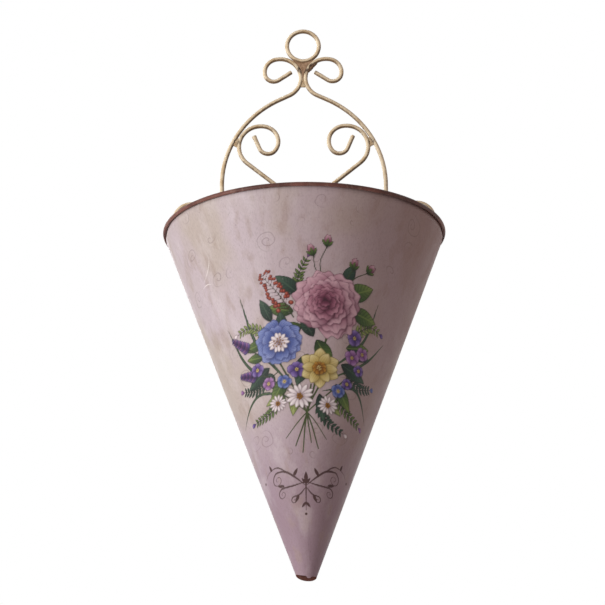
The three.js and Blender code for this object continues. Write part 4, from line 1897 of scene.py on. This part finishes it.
    def front(self, hanging: Hanging, finishes: Sequence[Material]) -> None:
        """Makes the round front: wall, inside, flanges, neck and rolled edge.

        Args:
            hanging: Where the object hangs.
            finishes: Of its outside and its inside.
        """
        work = Patchwork()
        self.printed_wall(work)
        angle = self.angles
        share = self.shares(angle, np.linspace(0, 1, self.rows + 1)).T
        outside = self.wall(angle[:, None], share)
        normal = self.normal(angle)
        inside = outside - normal[:, None] * self.sheet
        for end in (0, -1):
            inside[end] = outside[end]
            inside[end, :, 0] += self.sheet * (normal[end, 1] - 1) / normal[end, 0]
            inside[end, :, 1] -= self.sheet
        work.grid(inside, 1)
        work.grid(np.stack([outside[:, 0], inside[:, 0]], axis=1), 1)
        for end in (0, -1):
            edge = outside[end].copy()
            inward = np.minimum(self.flange, np.abs(edge[:, 0]) * self.flange_share)
            edge[:, 0] -= np.sign(edge[:, 0]) * inward
            edge_in = edge - (0, self.sheet, 0)
            for first, second, finish in (
                (outside[end], edge, 0),
                (edge, edge_in, 1),
                (edge_in, inside[end], 1),
            ):
                work.grid(np.stack([first, second]), finish)
            for row in (0, -1):
                work.polygon(np.array([outside[end, row], edge[row], edge_in[row], inside[end, row]]), 1)

        sides = slice(self.side_cells, len(angle) - self.side_cells)
        for part in (slice(0, self.side_cells + 1), slice(len(angle) - self.side_cells - 1, len(angle))):
            work.grid(np.stack([outside[part, -1], inside[part, -1]], axis=1), 1)
        printed = np.concatenate(
            [outside[sides, -1:], self.rolled(angle[sides], self.channel, self.roll_start)], axis=1
        )
        brown = np.concatenate(
            [
                printed[:, -1:],
                self.rolled(angle[sides], self.bead, self.roll_start)[:, ::-1],
                inside[sides, -1:],
            ],
            axis=1,
        )
        work.grid(printed)
        work.grid(brown, 1)
        for end in (0, -1):
            work.polygon(np.concatenate([printed[end], brown[end, 1:]]), 1)
        piece = work.sew("printed_front", hanging)
        self.unroll(piece.data, hanging)
        show(piece, finishes, "printed_tin", "front_shell")

    def unroll(self, mesh: Mesh, hanging: Hanging) -> None:
        """Gives each point its place on the sheet laid flat: right of the middle, and down from the rim.

        Args:
            mesh: The sewn front.
            hanging: Where the object hangs.
        """
        places = np.empty(len(mesh.vertices) * 3, np.float32)
        mesh.vertices.foreach_get("co", places)
        places = places.reshape(-1, 3) / MM + (0.0, 0.0, hanging.nail_height)
        middle = -self.back_setback - (self.seam + self.back_setback) * places[:, 2] / self.apex_drop
        before = middle - places[:, 1]
        around = np.arctan2(places[:, 0], before) * np.hypot(places[:, 0], before)
        flat = np.stack([around, -places[:, 2], np.zeros(len(places))], axis=-1)
        sheet = mesh.attributes.new(SHEET, "FLOAT_VECTOR", "POINT")
        sheet.data.foreach_set("vector", flat.astype(np.float32).reshape(-1))

    def roll_turns(self, start: float) -> np.ndarray:
        """Angles round the section of a rolled edge, from a start in degrees to its end."""
        steps = round((start - self.roll_end) / self.roll_step)
        return np.radians(np.linspace(start, self.roll_end, steps + 1))

    def rolled(self, angle: np.ndarray, radius: float, start: float) -> np.ndarray:
        """Points round the hoop's wire.

        Args:
            angle: The columns' angles.
            radius: Of the section.
            start: Degrees round the section.

        Returns:
            The points, column by column.
        """
        turn = self.roll_turns(start)
        out = self.bead_centre + radius * np.cos(turn)
        return self.ring_point(angle[:, None], out[None], radius * np.sin(turn)[None])

    def back(self, hanging: Hanging, lacquer: Material) -> None:
        """Makes the flat back with its round tongue and rolled top edge.

        Args:
            hanging: Where the object hangs.
            lacquer: Its finish.
        """
        corner = self.corner_angle
        ends = {}
        for side in (-1, 1):
            angle, neck = np.array(side * corner), np.array(self.neck_share)
            ends[side] = (self.wall(angle, self.cut_share(angle)), self.wall(angle, neck))
        turn = np.linspace(0, math.pi, self.tongue_points)[:, None]
        low = ends[-1][0] + (ends[1][0] - ends[-1][0]) * (1 - np.cos(turn)) / 2
        low[:, 2] -= self.tongue_drop * np.sin(turn[:, 0])
        across = self.hoop_corner[0]
        top = np.array([ends[1][1], (across, 0, -self.rim_neck), (-across, 0, -self.rim_neck), ends[-1][1]])
        outline = np.concatenate([low, top])
        rear, face = outline.copy(), outline.copy()
        rear[:, 1], face[:, 1] = 0.0, -self.sheet
        work = Patchwork()
        work.polygon(rear)
        work.polygon(face)
        open_edge = len(low) + 1  # between the two ends of the roll
        for k in range(len(outline)):
            if k != open_edge:
                following = (k + 1) % len(outline)
                work.polygon(np.array([rear[k], rear[following], face[following], face[k]]))
        turn = self.roll_turns(180)
        rounds = [
            np.stack([-self.bead - radius * np.cos(turn), radius * np.sin(turn)], axis=-1)
            for radius in (self.bead, self.channel)
        ]
        section = np.concatenate(
            [[(0, -self.rim_neck)], rounds[0], rounds[1][::-1], [(-self.sheet, -self.rim_neck)]]
        )
        roll = np.stack([np.insert(section, 0, side * across, axis=1) for side in (-1, 1)])
        work.grid(roll)
        for end in roll:
            work.polygon(end)
        show(work.sew("lacquered_back", hanging), [lacquer], "brown_tin", "back_plate")

    def hoop(self, hanging: Hanging, lacquer: Material) -> None:
        """Makes the hoop that both edges are rolled over.

        Args:
            hanging: Where the object hangs.
            lacquer: Its finish.
        """
        across, _ = self.hoop_corner
        corner = 180 - math.degrees(self.roll_angle)
        wire = BentWire(across, -self.bead, 180).straight(2 * across).bend(self.hoop_bend, corner)
        wire.bend(self.bead_centre, 2 * math.degrees(self.roll_angle)).bend(self.hoop_bend, corner)
        tube = RoundWire(self.rim_wire, sides=12, step=2.0).tube(wire, Plane.LEVEL, 0.0, closed=True)
        show(tube.sew("rim_hoop", hanging), [lacquer], "brown_tin", "rim_wire")


# ---------- Studio ----------


@dataclass(frozen=True)
class Lamp:
    """A round soft lamp: where it stands, as degrees from the front towards the right, degrees up and
    metres away, and how light it makes a white surface that faces it."""

    name: str
    azimuth: float
    elevation: float
    distance: float
    size: float
    level: float

    @property
    def place(self) -> Vector:
        """Where it stands.

        Returns:
            Its place as seen from the aim.
        """
        round_, up = math.radians(self.azimuth), math.radians(self.elevation)
        flat = math.cos(up) * self.distance
        return Vector((flat * math.sin(round_), -flat * math.cos(round_), self.distance * math.sin(up)))


@dataclass
class Studio:
    """A white room: a pale floor under the object, a large lamp on the left, a weaker one behind, soft
    light all round, and a camera that looks up at the object from far off, as the photograph does."""

    elevation: float = -20.3  # degrees
    roll: float = -0.4  # degrees
    distance: float = 16.0
    frame_width: float = 0.4287  # metres across the picture, at the object
    aim: tuple[float, float, float] = (-0.0016, -0.0018, -0.2041)
    floor_level: float = -1.6
    floor_radius: float = 2.4  # the camera looks past its edge
    floor_sides: int = 96
    floor_grey: float = 0.86
    floor_glow: float = 0.8  # lifts the floor to white where it is seen
    lamps: tuple[Lamp, ...] = (
        Lamp("window", azimuth=-57, elevation=-6, distance=2.6, size=1.3, level=0.76),
        Lamp("doorway", azimuth=188, elevation=28, distance=2.4, size=1.4, level=0.34),
    )
    fill: tuple[float, float, float] = (0.29, 0.24, 0.23)  # a little warm, as from a wooden floor
    sensor: float = 36.0

    def build(self) -> None:
        """Makes the floor, the lights and the camera."""
        self.floor()
        self.world()
        for lamp in self.lamps:
            self.light(lamp)
        self.camera()

    def camera(self) -> None:
        """The camera: a very long lens, so that lines stay nearly parallel."""
        data = bpy.data.cameras.new("camera")
        data.sensor_width = self.sensor
        data.lens = self.sensor * self.distance / self.frame_width
        data.clip_end = 100.0
        camera = bpy.data.objects.new("camera", data)
        tilt = math.radians(self.elevation)
        back = Vector((0, -math.cos(tilt), math.sin(tilt)))
        camera.location = Vector(self.aim) + back * self.distance
        upright = (-back).to_track_quat("-Z", "Y")
        camera.rotation_euler = (upright @ Quaternion((0, 0, 1), math.radians(self.roll))).to_euler()
        bpy.context.scene.collection.objects.link(camera)
        bpy.context.scene.camera = camera

    def light(self, lamp: Lamp) -> None:
        """Puts up one lamp, turned to the object.

        Args:
            lamp: The lamp.
        """
        data = bpy.data.lights.new(lamp.name, "AREA")
        data.shape = "DISK"
        data.size = lamp.size
        data.energy = lamp.level * (math.pi * lamp.distance) ** 2
        stand = bpy.data.objects.new(lamp.name, data)
        stand.location = Vector(self.aim) + lamp.place
        stand.rotation_euler = (-lamp.place).to_track_quat("-Z", "Y").to_euler()
        bpy.context.scene.collection.objects.link(stand)

    def seen_white(self, tree: NodeTree) -> NodeSocket:
        """Tells the rays that should meet plain white: the camera's, and those in gloss and glass.

        Args:
            tree: Where the nodes are added.

        Returns:
            A socket that is 1 for them.
        """
        path = add_node(tree, "ShaderNodeLightPath")
        rays = [path.outputs[name] for name in ("Is Camera Ray", "Is Glossy Ray", "Is Transmission Ray")]
        seen = rays[0]
        for ray in rays[1:]:
            seen = add_node(tree, "ShaderNodeMath", {0: seen, 1: ray}, operation="MAXIMUM").outputs[0]
        return seen

    def world(self) -> None:
        """White where it is seen, and a soft even light elsewhere."""
        world = bpy.data.worlds.new("studio")
        world.use_nodes = True
        tree = world.node_tree
        tree.nodes.clear()
        colour = add_node(
            tree,
            "ShaderNodeMix",
            {0: self.seen_white(tree), 6: (*self.fill, 1.0), 7: (1.0, 1.0, 1.0, 1.0)},
            data_type="RGBA",
        )
        light = add_node(tree, "ShaderNodeBackground", {"Color": colour.outputs[2], "Strength": 1.0})
        add_node(tree, "ShaderNodeOutputWorld", {"Surface": light.outputs[0]})
        bpy.context.scene.world = world

    def floor(self) -> None:
        """A wide pale floor that is white to the eye and still takes a shadow."""
        material, tree = empty_material("pale_floor")
        matt = add_node(tree, "ShaderNodeBsdfDiffuse", {"Color": (*[self.floor_grey] * 3, 1.0)})
        glow = add_node(tree, "ShaderNodeEmission", {"Color": (1, 1, 1, 1), "Strength": self.floor_glow})
        both = add_node(tree, "ShaderNodeAddShader", {0: matt.outputs[0], 1: glow.outputs[0]})
        mixed = add_node(
            tree, "ShaderNodeMixShader", {0: self.seen_white(tree), 1: matt.outputs[0], 2: both.outputs[0]}
        )
        add_node(tree, "ShaderNodeOutputMaterial", {"Surface": mixed.outputs[0]})
        mesh = bpy.data.meshes.new("floor")
        reach, level = self.floor_radius, self.floor_level
        turns = np.linspace(0, 2 * math.pi, self.floor_sides, endpoint=False)
        ring = [(reach * math.cos(turn), reach * math.sin(turn), level) for turn in turns]
        mesh.from_pydata(ring, [], [range(self.floor_sides)])
        mesh.materials.append(material)
        floor = bpy.data.objects.new("floor", mesh)
        bpy.context.scene.collection.objects.link(floor)


def main() -> None:
    """Builds the studio and the object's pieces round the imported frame."""
    logging.basicConfig(level=logging.INFO, format="%(message)s")
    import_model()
    bpy.context.scene.view_settings.view_transform = "Standard"
    Studio().build()
    burnt = Braze().build()
    painted = Braze("enamelled_braze", metal="#c9ae88", pale="#e2d0ae", burnt="#8d7152").build()
    lacquer, tinplate = BrownLacquer().build(), PrintedTinplate().build()
    scrolls, pocket = ScrollFrame(), Pocket()
    hanging = Hanging(scrolls.nail_height)
    log.info("nail %.3f mm above the rim", hanging.nail_height)
    pocket.front(hanging, [tinplate, lacquer])
    pocket.back(hanging, lacquer)
    pocket.hoop(hanging, lacquer)
    scrolls.build(hanging, burnt, painted)


if __name__ == "__main__":
    main()
